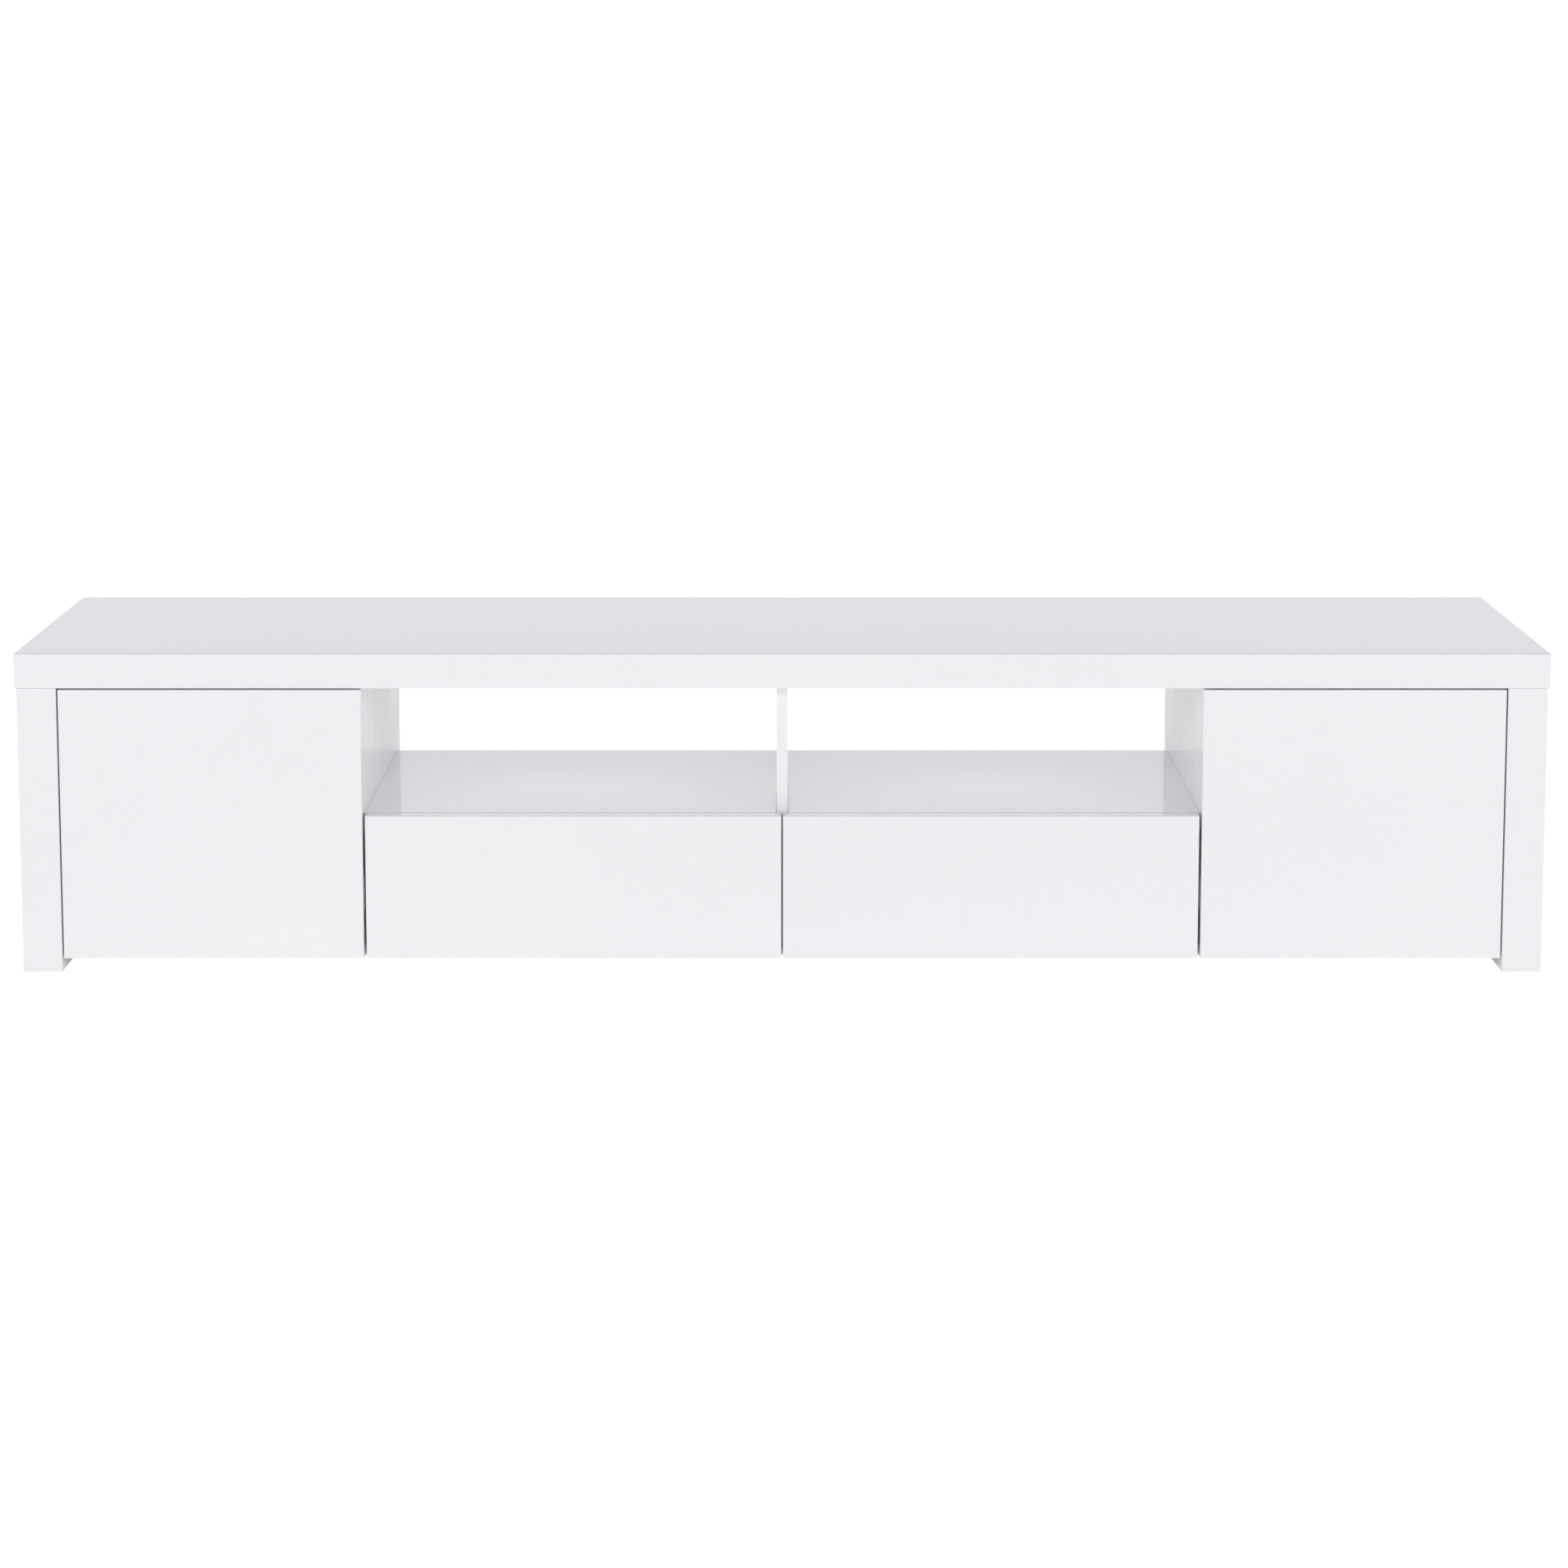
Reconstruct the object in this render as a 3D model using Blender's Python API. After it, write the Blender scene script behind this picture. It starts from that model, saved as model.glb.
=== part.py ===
"""A low television stand: a thick top slab on two thick side panels, a door at each
end, two drawers in the middle under an open niche, and the hardware inside.

Metres, +Z up, the front towards -Y. The origin is on the floor under the middle."""

import math

import bmesh
import bpy
from mathutils import Matrix, Vector

MM = 0.001
GAP = 0.3 * MM  # between pieces that touch

# Driving dimensions of the furniture
WIDTH, DEPTH, HEIGHT = 2000 * MM, 400 * MM, 426 * MM
SLAB_THICK = 46 * MM
SIDE_THICK = 52 * MM
SIDE_INSET = 2 * MM  # the side panels stand this far inside the slab's ends and front
BOARD = 15 * MM
BOX_BOARD = 12 * MM  # drawer boxes
HARDBOARD = 3 * MM
SHELF_THICK = 22 * MM
FRONT_THICK = 16 * MM  # doors and drawer fronts
PRESS_ROOM = 2 * MM  # behind the fronts, for pressing them to open
BOTTOM_LOW = 18 * MM
NICHE_HALF = 549 * MM  # from the middle to a partition's inner face
SHELF_TOP = 210 * MM
SHELF_REAR = 171 * MM
DOOR_GAP = 2 * MM
DOOR_INNER = 549.3 * MM
FRONT_LOW, DOOR_TOP = 18.5 * MM, 377.6 * MM
DRAWER_FRONT_OUTER, DRAWER_FRONT_INNER = 546 * MM, 1 * MM
INNER_SHELF_LOW = 198 * MM
INNER_SHELF_END, INNER_SHELF_SETBACK, INNER_SHELF_REAR = 0.5 * MM, 20 * MM, 5 * MM
HOUSING_DEPTH = 3 * MM  # the groove in the niche shelf that the divider stands in
CHAMFER = 0.8 * MM
OVERCUT = 5 * MM  # how far a cutter reaches past the face it cuts

# Worked out from them
FRONT = -DEPTH / 2 + SIDE_INSET
FRONT_BACK = FRONT + FRONT_THICK
CARCASS_FRONT = FRONT_BACK + PRESS_ROOM
REAR = DEPTH / 2
BOARD_REAR = REAR - HARDBOARD - GAP
SIDE_OUTER = WIDTH / 2 - SIDE_INSET
SIDE_INNER = SIDE_OUTER - SIDE_THICK
UNDERSIDE = HEIGHT - SLAB_THICK
BOTTOM_TOP = BOTTOM_LOW + BOARD
PARTITION_OUTER = NICHE_HALF + BOARD
DOOR_OUTER = SIDE_INNER - DOOR_GAP

# Drawer boxes and their slides
BOX_LOW, BOX_TOP, BOX_DEPTH = 46 * MM, 156 * MM, 330 * MM
BOX_BOTTOM_RISE = 10 * MM
SLIDE_ROOM = 12.7 * MM
SLIDE_LENGTH = 300 * MM
SLIDE_START = CARCASS_FRONT + 2 * MM
SLIDE_HEIGHT = 45 * MM
SHEET = 1.2 * MM
# Each rail's section, measured from its wall: web, lip, and what its height lacks at each edge
RAIL_SECTIONS = {
    "outer_rail": (GAP, 9.6 * MM, 0),
    "middle_rail": (3.2 * MM, 10.4 * MM, 4 * MM),
    "inner_rail": (SLIDE_ROOM - GAP, 6.2 * MM, 8 * MM),
}

# Concealed hinges, measured from the door's outer front corner
HINGE_HEIGHTS = {"upper": 298 * MM, "lower": 98 * MM}
CUP_FROM_EDGE, CUP_HOLE_RADIUS, CUP_HOLE_DEPTH = 21.5 * MM, 17.5 * MM, 12.5 * MM
PIN_FROM_EDGE, PIN_FROM_FRONT, PIN_RADIUS = 10 * MM, 9 * MM, 1.5 * MM
LINK_REACH, LINK_TAIL, LINK_SHEET, LINK_HEIGHT = 12 * MM, 38 * MM, 2.4 * MM, 10 * MM
LINK_EYE_RADIUS = 3.2 * MM
CUP_WALL, CUP_FLOOR, CUP_FLANGE = 0.9 * MM, 1 * MM, 2.3 * MM
CUP_WING_HALF_WIDTH, CUP_WING_HALF_LENGTH = 8 * MM, 30 * MM
PIN_END_GAP = 0.1 * MM
# The arm and its screw plate: out from the side panel's face, back from the door's front,
# and half the height
ARM_OUT, ARM_BACK, ARM_HALF, ARM_SHEET = (9 * MM, 30.5 * MM), (19 * MM, 104 * MM), 7.9 * MM, 1.5 * MM
ARM_CHANNEL_END = 64 * MM
SPINE_OUT, SPINE_BACK, SPINE_HALF = (2 * MM, 12 * MM), (66 * MM, 102 * MM), 6.9 * MM
PLATE_OUT, PLATE_BACK, PLATE_HALF = (GAP, 3 * MM), (62 * MM, 108 * MM), 7.4 * MM
ARM_WING_OUT, ARM_WING_BACK, ARM_WING_HALF = (GAP, 2.6 * MM), (66 * MM, 82 * MM), 25 * MM

# Push-to-open latches
LATCH_SIZE = (13 * MM, 66 * MM, 18 * MM)
LATCH_BORE, LATCH_BORE_DEPTH = 4.2 * MM, 52 * MM
PLUNGER_RADIUS, PLUNGER_LENGTH = 3.8 * MM, 52 * MM
LATCH_FRONT = CARCASS_FRONT + 2 * MM
DOOR_LATCH_HEIGHT = 340 * MM
ROUND_SIDES = 32


def clear_scene():
    for old in list(bpy.data.objects):
        bpy.data.objects.remove(old, do_unlink=True)


def finish(name, colour, roughness, metallic=0.0):
    material = bpy.data.materials.new(name)
    material.use_nodes = True
    shader = material.node_tree.nodes["Principled BSDF"]
    shader.inputs["Base Color"].default_value = (*colour, 1.0)
    shader.inputs["Roughness"].default_value = roughness
    shader.inputs["Metallic"].default_value = metallic
    return material


def add_object(name, mesh, place=(0, 0, 0)):
    piece = bpy.data.objects.new(name, mesh)
    bpy.context.scene.collection.objects.link(piece)
    piece.location = place
    return piece


def box_mesh(name, low, high):
    """A box between two corners."""
    low, high = Vector(low), Vector(high)
    shape = bmesh.new()
    bmesh.ops.create_cube(shape, size=1.0)
    bmesh.ops.scale(shape, vec=high - low, verts=shape.verts)
    bmesh.ops.translate(shape, vec=(low + high) / 2, verts=shape.verts)
    return mesh_from(shape, name)


def rod_mesh(name, start, radius, length, along):
    """A round rod that starts at a point and runs along Y or Z."""
    shape = bmesh.new()
    bmesh.ops.create_cone(
        shape, cap_ends=True, segments=ROUND_SIDES, radius1=radius, radius2=radius, depth=length
    )
    bmesh.ops.translate(shape, vec=(0, 0, length / 2), verts=shape.verts)
    if along == "Y":
        bmesh.ops.rotate(shape, matrix=Matrix.Rotation(-math.pi / 2, 3, "X"), verts=shape.verts)
    bmesh.ops.translate(shape, vec=start, verts=shape.verts)
    return mesh_from(shape, name)


def bar_mesh(name, outline, length, along):
    """An outline carried along Y (drawn in X and Z) or along Z (drawn in X and Y)."""
    shape = bmesh.new()
    if along == "Y":
        corners = [shape.verts.new((x, 0, z)) for x, z in outline]
        way = (0, length, 0)
    else:
        corners = [shape.verts.new((x, y, 0)) for x, y in outline]
        way = (0, 0, length)
    face = shape.faces.new(corners)
    moved = bmesh.ops.extrude_face_region(shape, geom=[face])
    tops = [item for item in moved["geom"] if isinstance(item, bmesh.types.BMVert)]
    bmesh.ops.translate(shape, vec=way, verts=tops)
    return mesh_from(shape, name)


def mesh_from(shape, name):
    bmesh.ops.recalc_face_normals(shape, faces=shape.faces)
    mesh = bpy.data.meshes.new(name)
    shape.to_mesh(mesh)
    shape.free()
    return mesh


def combined(name, base, steps):
    """The base mesh after Boolean steps, each an operation and a mesh."""
    body = add_object("working_body", base)
    helpers = []
    for index, (operation, other) in enumerate(steps):
        helper = add_object(f"working_helper_{index}", other)
        change = body.modifiers.new(f"step_{index}", "BOOLEAN")
        change.operation = operation
        change.solver = "EXACT"
        change.object = helper
        helpers.append(helper)
    bpy.context.view_layer.update()
    graph = bpy.context.evaluated_depsgraph_get()
    result = bpy.data.meshes.new_from_object(body.evaluated_get(graph))
    result.name = name
    for used in [body, *helpers]:
        bpy.data.objects.remove(used, do_unlink=True)
    return result


def smooth(mesh):
    mesh.shade_smooth()
    mesh.set_sharp_from_angle(angle=math.radians(35))
    return mesh


def paint(piece, material):
    """Gives this object its finish, also where its mesh is shared."""
    if not piece.data.materials:
        piece.data.materials.append(None)
    piece.material_slots[0].link = "OBJECT"
    piece.material_slots[0].material = material
    return piece


def chamfered_mesh(name, low, high):
    """A box between two corners with its edges taken off, as a plain mesh."""
    blank = add_object("working_blank", box_mesh(name, low, high))
    soften(blank, CHAMFER)
    bpy.context.view_layer.update()
    graph = bpy.context.evaluated_depsgraph_get()
    mesh = bpy.data.meshes.new_from_object(blank.evaluated_get(graph))
    bpy.data.objects.remove(blank, do_unlink=True)
    return mesh


def board(name, low, high, material, edge=CHAMFER):
    """A flat board between two corners, with its origin in its middle."""
    low, high = Vector(low), Vector(high)
    middle = (low + high) / 2
    piece = add_object(name, box_mesh(name, low - middle, high - middle), middle)
    if edge:
        soften(piece, edge)
    return paint(piece, material)


def soften(piece, edge):
    bevel = piece.modifiers.new("edges", "BEVEL")
    bevel.width = edge
    bevel.segments = 1
    bevel.limit_method = "ANGLE"


def axis_at(name, place):
    empty = bpy.data.objects.new(name, None)
    bpy.context.scene.collection.objects.link(empty)
    empty.empty_display_size = 0.05
    empty.location = place
    return empty


def carry(axis, pieces):
    """Parents pieces to an axis and leaves them where they are."""
    for piece in pieces:
        piece.parent = axis
        piece.location = piece.location - axis.location


def mirrored(low, high, side):
    """The corners of a box in the half where x has this sign."""
    ends = sorted((side * low[0], side * high[0]))
    return (ends[0], low[1], low[2]), (ends[1], high[1], high[2])


def build_niche_shelf(gloss):
    """The niche's floor, with a groove from front to rear that the divider stands in."""
    low = Vector((-NICHE_HALF + GAP, CARCASS_FRONT, SHELF_TOP - SHELF_THICK))
    high = Vector((NICHE_HALF - GAP, SHELF_REAR, SHELF_TOP))
    middle = (low + high) / 2
    blank = chamfered_mesh("niche_shelf", low - middle, high - middle)
    half = BOARD / 2 + GAP
    groove_low = Vector((-half, CARCASS_FRONT - OVERCUT, SHELF_TOP - HOUSING_DEPTH))
    groove_high = Vector((half, SHELF_REAR + OVERCUT, SHELF_TOP + OVERCUT))
    groove = box_mesh("groove", groove_low - middle, groove_high - middle)
    mesh = combined("niche_shelf", blank, [("DIFFERENCE", groove)])
    paint(add_object("niche_shelf", mesh, middle), gloss)


def build_carcass(gloss, melamine, hardboard):
    board(
        "top_slab",
        (-WIDTH / 2, -DEPTH / 2, UNDERSIDE),
        (WIDTH / 2, DEPTH / 2, HEIGHT),
        gloss,
    )
    board(
        "bottom_panel",
        (-SIDE_INNER + GAP, CARCASS_FRONT, BOTTOM_LOW),
        (SIDE_INNER - GAP, BOARD_REAR, BOTTOM_TOP),
        melamine,
    )
    build_niche_shelf(gloss)
    board(
        "niche_divider",
        (-BOARD / 2, CARCASS_FRONT, SHELF_TOP - HOUSING_DEPTH + GAP),
        (BOARD / 2, SHELF_REAR, UNDERSIDE - GAP),
        gloss,
    )
    board(
        "drawer_divider",
        (-BOARD / 2, CARCASS_FRONT, BOTTOM_TOP + GAP),
        (BOARD / 2, SHELF_REAR - HARDBOARD - GAP, SHELF_TOP - SHELF_THICK - GAP),
        melamine,
    )
    board(
        "drawer_bay_back",
        (-NICHE_HALF + GAP, SHELF_REAR - HARDBOARD, BOTTOM_TOP + GAP),
        (NICHE_HALF - GAP, SHELF_REAR, SHELF_TOP - SHELF_THICK - GAP),
        hardboard,
        0,
    )
    for name, side in (("left", -1), ("right", 1)):
        board(
            f"{name}_side_panel",
            *mirrored((SIDE_INNER, FRONT, 0), (SIDE_OUTER, REAR, UNDERSIDE - GAP), side),
            gloss,
        )
        board(
            f"{name}_partition",
            *mirrored(
                (NICHE_HALF, CARCASS_FRONT, BOTTOM_TOP + GAP),
                (PARTITION_OUTER, BOARD_REAR, UNDERSIDE - GAP),
                side,
            ),
            gloss,
        )
        board(
            f"{name}_inner_shelf",
            *mirrored(
                (
                    PARTITION_OUTER + INNER_SHELF_END,
                    CARCASS_FRONT + INNER_SHELF_SETBACK,
                    INNER_SHELF_LOW,
                ),
                (
                    SIDE_INNER - INNER_SHELF_END,
                    BOARD_REAR - INNER_SHELF_REAR,
                    INNER_SHELF_LOW + BOARD,
                ),
                side,
            ),
            melamine,
        )
        board(
            f"{name}_bay_back",
            *mirrored(
                (NICHE_HALF, REAR - HARDBOARD, BOTTOM_LOW),
                (SIDE_INNER - GAP, REAR, UNDERSIDE - GAP),
                side,
            ),
            hardboard,
            0,
        )


def hinge_cup_mesh():
    """A cup with its flange and wings, and the pin across its mouth that holds the link.
    Its origin is in the middle of the cup, on the door's back face; +Y leaves the door."""
    outer = CUP_HOLE_RADIUS - GAP
    inner = outer - CUP_WALL
    depth = CUP_HOLE_DEPTH - GAP
    flange = rod_mesh("flange", (0, GAP, 0), outer + CUP_FLANGE, SHEET, "Y")
    wings = box_mesh(
        "wings",
        (-CUP_WING_HALF_WIDTH, GAP, -CUP_WING_HALF_LENGTH),
        (CUP_WING_HALF_WIDTH, GAP + SHEET, CUP_WING_HALF_LENGTH),
    )
    wall = rod_mesh("wall", (0, -depth, 0), outer, depth + GAP + SHEET / 2, "Y")
    hollow = rod_mesh("hollow", (0, CUP_FLOOR - depth, 0), inner, depth + OVERCUT, "Y")
    pin_x = PIN_FROM_EDGE - CUP_FROM_EDGE
    pin_y = PIN_FROM_FRONT - FRONT_THICK
    # The pin ends inside the cup's wall
    reach = math.sqrt(outer**2 - (abs(pin_x) + PIN_RADIUS) ** 2) - PIN_END_GAP
    pin = rod_mesh("pin", (pin_x, pin_y, -reach), PIN_RADIUS, 2 * reach, "Z")
    steps = [("UNION", wings), ("UNION", wall), ("DIFFERENCE", hollow), ("UNION", pin)]
    return smooth(combined("hinge_cup", flange, steps))


def hinge_link_mesh():
    """A cranked strip with an eye round the cup's pin, its tail running back into the arm.
    Its origin is on the pin."""
    half = LINK_SHEET / 2
    outline = [
        (0, -half),
        (LINK_REACH + half, -half),
        (LINK_REACH + half, LINK_TAIL),
        (LINK_REACH - half, LINK_TAIL),
        (LINK_REACH - half, half),
        (0, half),
    ]
    strip = bar_mesh("strip", outline, LINK_HEIGHT, "Z")
    strip.transform(Matrix.Translation((0, 0, -LINK_HEIGHT / 2)))
    eye = rod_mesh("eye", (0, 0, -LINK_HEIGHT / 2), LINK_EYE_RADIUS, LINK_HEIGHT, "Z")
    hole = rod_mesh("hole", (0, 0, -LINK_HEIGHT), PIN_RADIUS + GAP, 2 * LINK_HEIGHT, "Z")
    return smooth(combined("hinge_link", strip, [("UNION", eye), ("DIFFERENCE", hole)]))


def arm_block(name, out, back, half):
    """A block of the arm: its reach out from the panel, back from the front, and half height."""
    return box_mesh(name, (out[0], back[0], -half), (out[1], back[1], half))


def hinge_arm_mesh():
    """A U-shaped arm, open towards the side panel, on its spine and screw plate.
    Its origin is on the side panel's face, level with the door's front; +X leaves the face."""
    shell = arm_block("shell", ARM_OUT, ARM_BACK, ARM_HALF)
    channel_out = (ARM_OUT[0] - OVERCUT, ARM_OUT[1] - ARM_SHEET)
    channel_back = (ARM_BACK[0] - OVERCUT, ARM_CHANNEL_END)
    channel = arm_block("channel", channel_out, channel_back, ARM_HALF - ARM_SHEET)
    spine = arm_block("spine", SPINE_OUT, SPINE_BACK, SPINE_HALF)
    plate = arm_block("plate", PLATE_OUT, PLATE_BACK, PLATE_HALF)
    wings = arm_block("wings", ARM_WING_OUT, ARM_WING_BACK, ARM_WING_HALF)
    steps = [("DIFFERENCE", channel), ("UNION", spine), ("UNION", plate), ("UNION", wings)]
    return combined("hinge_arm", shell, steps)


def latch_body_mesh():
    """A block with a blind bore for its plunger. Its origin is at the middle of its front."""
    width, length, height = LATCH_SIZE
    block = box_mesh("block", (-width / 2, 0, -height / 2), (width / 2, length, height / 2))
    bore = rod_mesh("bore", (0, -OVERCUT, 0), LATCH_BORE, LATCH_BORE_DEPTH + OVERCUT, "Y")
    return combined("latch_body", block, [("DIFFERENCE", bore)])


def build_hinges_and_doors(gloss, steel, zinc):
    cup_mesh = hinge_cup_mesh()
    link_mesh = hinge_link_mesh()
    arm_mesh = hinge_arm_mesh()
    for name, side in (("left", -1), ("right", 1)):
        turned = (0, 0 if side < 0 else math.pi, 0)
        corner = Vector((side * DOOR_OUTER, FRONT, 0))
        inward = -side
        low, high = mirrored((DOOR_INNER, FRONT, FRONT_LOW), (DOOR_OUTER, FRONT_BACK, DOOR_TOP), side)
        middle = (Vector(low) + Vector(high)) / 2
        blank = chamfered_mesh(f"{name}_door", Vector(low) - middle, Vector(high) - middle)
        holes = []
        for height in HINGE_HEIGHTS.values():
            start = Vector((corner.x + inward * CUP_FROM_EDGE, FRONT_BACK - CUP_HOLE_DEPTH, height))
            length = CUP_HOLE_DEPTH + OVERCUT
            hole = rod_mesh("cup_hole", start - middle, CUP_HOLE_RADIUS, length, "Y")
            holes.append(("DIFFERENCE", hole))
        door_mesh = combined(f"{name}_door", blank, holes)
        door = paint(add_object(f"{name}_door", door_mesh, middle), gloss)
        door_axis = axis_at(f"{name}_door_axis", corner)
        pin = corner + Vector((inward * PIN_FROM_EDGE, PIN_FROM_FRONT, 0))
        link_axis = axis_at(f"{name}_link_axis", pin)
        cups, links = [], []
        for level, height in HINGE_HEIGHTS.items():
            rise = Vector((0, 0, height))
            cup_place = corner + rise + Vector((inward * CUP_FROM_EDGE, FRONT_THICK, 0))
            cup = add_object(f"{name}_{level}_hinge_cup", cup_mesh, cup_place)
            link = add_object(f"{name}_{level}_hinge_link", link_mesh, pin + rise)
            arm_place = (side * SIDE_INNER, FRONT, height)
            arm = add_object(f"{name}_{level}_hinge_arm", arm_mesh, arm_place)
            for piece, metal in ((cup, steel), (link, steel), (arm, zinc)):
                piece.rotation_euler = turned
                paint(piece, metal)
            cups.append(cup)
            links.append(link)
        carry(door_axis, [door, *cups])
        carry(link_axis, links)
        link_axis.parent = door_axis
        link_axis.location = link_axis.location - door_axis.location


def build_latches(housing, tip):
    """One latch for each front: the doors' beside the partitions, the drawers' on the bottom."""
    body_mesh = latch_body_mesh()
    width, _, height = LATCH_SIZE
    plunger_mesh = smooth(
        rod_mesh("latch_plunger", (0, 0, 0), PLUNGER_RADIUS, PLUNGER_LENGTH, "Y")
    )
    places = {}
    for name, side in (("left", -1), ("right", 1)):
        beside = side * (PARTITION_OUTER + GAP + width / 2)
        places[f"{name}_door"] = (beside, LATCH_FRONT, DOOR_LATCH_HEIGHT)
        centre = side * (DRAWER_FRONT_OUTER + DRAWER_FRONT_INNER) / 2
        places[f"{name}_drawer"] = (centre, LATCH_FRONT, BOTTOM_TOP + GAP + width / 2)
    for name, place in places.items():
        body = paint(add_object(f"{name}_latch_body", body_mesh, place), housing)
        if name.endswith("drawer"):
            body.rotation_euler = (0, math.pi / 2, 0)
        start = Vector((place[0], FRONT_BACK + GAP, place[2]))
        plunger = paint(add_object(f"{name}_latch_plunger", plunger_mesh, start), tip)
        carry(axis_at(f"{name}_latch_axis", start), [plunger])


def channel_outline(web, lip, half, thick):
    """A C-shaped section between web and lip in X, open towards the lip."""
    step = thick if lip > web else -thick
    return [
        (web, -half),
        (lip, -half),
        (lip, -half + thick),
        (web + step, -half + thick),
        (web + step, half - thick),
        (lip, half - thick),
        (lip, half),
        (web, half),
    ]


def build_drawers(gloss, melamine, hardboard, zinc):
    """Each drawer: its front, four-piece box and two three-part slides."""
    half = SLIDE_HEIGHT / 2
    rails = {}
    for kind, (web, lip, lower) in RAIL_SECTIONS.items():
        outline = channel_outline(web, lip, half - lower, SHEET)
        rails[kind] = bar_mesh(kind, outline, SLIDE_LENGTH, "Y")
    box_front, box_rear = FRONT_BACK + GAP, FRONT_BACK + GAP + BOX_DEPTH
    slide_level = (BOX_LOW + BOX_TOP) / 2
    outer_x = NICHE_HALF - SLIDE_ROOM
    inner_x = BOARD / 2 + SLIDE_ROOM
    bottom_low = BOX_LOW + BOX_BOTTOM_RISE
    for name, side in (("left", -1), ("right", 1)):
        moving = [
            board(
                f"{name}_drawer_front",
                *mirrored(
                    (DRAWER_FRONT_INNER, FRONT, FRONT_LOW),
                    (DRAWER_FRONT_OUTER, FRONT_BACK, SHELF_TOP),
                    side,
                ),
                gloss,
            ),
            board(
                f"{name}_drawer_outer_side",
                *mirrored(
                    (outer_x - BOX_BOARD, box_front, BOX_LOW), (outer_x, box_rear, BOX_TOP), side
                ),
                melamine,
            ),
            board(
                f"{name}_drawer_inner_side",
                *mirrored(
                    (inner_x, box_front, BOX_LOW), (inner_x + BOX_BOARD, box_rear, BOX_TOP), side
                ),
                melamine,
            ),
            board(
                f"{name}_drawer_rear",
                *mirrored(
                    (
                        inner_x + BOX_BOARD + GAP,
                        box_rear - BOX_BOARD,
                        bottom_low + HARDBOARD + GAP,
                    ),
                    (outer_x - BOX_BOARD - GAP, box_rear, BOX_TOP),
                    side,
                ),
                melamine,
            ),
            board(
                f"{name}_drawer_bottom",
                *mirrored(
                    (inner_x + BOX_BOARD + GAP, box_front, bottom_low),
                    (outer_x - BOX_BOARD - GAP, box_rear, bottom_low + HARDBOARD),
                    side,
                ),
                hardboard,
                0,
            ),
        ]
        middles = []
        for place, wall in (("outer", side * NICHE_HALF), ("inner", side * BOARD / 2)):
            # A slide stacks away from its wall: towards the middle from the partition.
            towards_plus = (wall < 0) == (place == "outer")
            for kind, mesh in rails.items():
                rail = add_object(
                    f"{name}_{place}_slide_{kind}", mesh, (wall, SLIDE_START, slide_level)
                )
                rail.rotation_euler = (0, 0 if towards_plus else math.pi, 0)
                paint(rail, zinc)
                if kind == "inner_rail":
                    moving.append(rail)
                elif kind == "middle_rail":
                    middles.append(rail)
        centre = side * (NICHE_HALF + BOARD / 2) / 2
        carry(axis_at(f"{name}_drawer_axis", (centre, FRONT, slide_level)), moving)
        carry(axis_at(f"{name}_slide_axis", (centre, SLIDE_START, slide_level)), middles)


def main():
    clear_scene()
    gloss = finish("gloss_lacquer", (0.86, 0.855, 0.87), 0.06)
    melamine = finish("melamine", (0.82, 0.82, 0.83), 0.35)
    hardboard = finish("hardboard", (0.78, 0.78, 0.78), 0.5)
    steel = finish("nickel_steel", (0.62, 0.61, 0.59), 0.25, 1.0)
    zinc = finish("zinc_steel", (0.55, 0.56, 0.58), 0.35, 1.0)
    housing = finish("latch_plastic", (0.8, 0.8, 0.8), 0.4)
    tip = finish("plunger_plastic", (0.3, 0.31, 0.32), 0.45)
    build_carcass(gloss, melamine, hardboard)
    build_hinges_and_doors(gloss, steel, zinc)
    build_drawers(gloss, melamine, hardboard, zinc)
    build_latches(housing, tip)


main()
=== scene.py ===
import math

import bmesh
import bpy
import numpy as np
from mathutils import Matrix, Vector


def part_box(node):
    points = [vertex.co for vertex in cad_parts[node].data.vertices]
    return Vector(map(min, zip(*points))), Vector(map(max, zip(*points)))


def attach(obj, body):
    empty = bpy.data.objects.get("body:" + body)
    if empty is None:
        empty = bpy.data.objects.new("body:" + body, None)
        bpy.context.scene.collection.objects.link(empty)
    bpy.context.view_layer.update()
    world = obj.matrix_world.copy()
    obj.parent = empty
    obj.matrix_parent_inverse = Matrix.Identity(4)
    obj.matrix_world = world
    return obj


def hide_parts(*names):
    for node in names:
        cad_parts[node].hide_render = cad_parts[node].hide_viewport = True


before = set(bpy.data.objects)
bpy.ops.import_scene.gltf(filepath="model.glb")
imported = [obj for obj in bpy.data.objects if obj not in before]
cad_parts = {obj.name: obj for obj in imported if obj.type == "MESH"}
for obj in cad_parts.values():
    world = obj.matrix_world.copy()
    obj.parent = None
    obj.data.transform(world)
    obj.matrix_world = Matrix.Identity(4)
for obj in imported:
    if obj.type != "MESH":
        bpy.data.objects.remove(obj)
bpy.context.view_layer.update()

mm = 0.001
sides = {"left": -1.0, "right": 1.0}
mixFirst, mixSecond, mixResult = 6, 7, 2  # the colour sockets of a Mix node
alongX = [(0, 1, 0), (0, 0, 1), (1, 0, 0)]  # own Z becomes X
alongMinusX = [(0, -1, 0), (0, 0, 1), (-1, 0, 0)]
alongY = [(1, 0, 0), (0, 0, -1), (0, 1, 0)]  # own Z becomes Y

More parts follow.
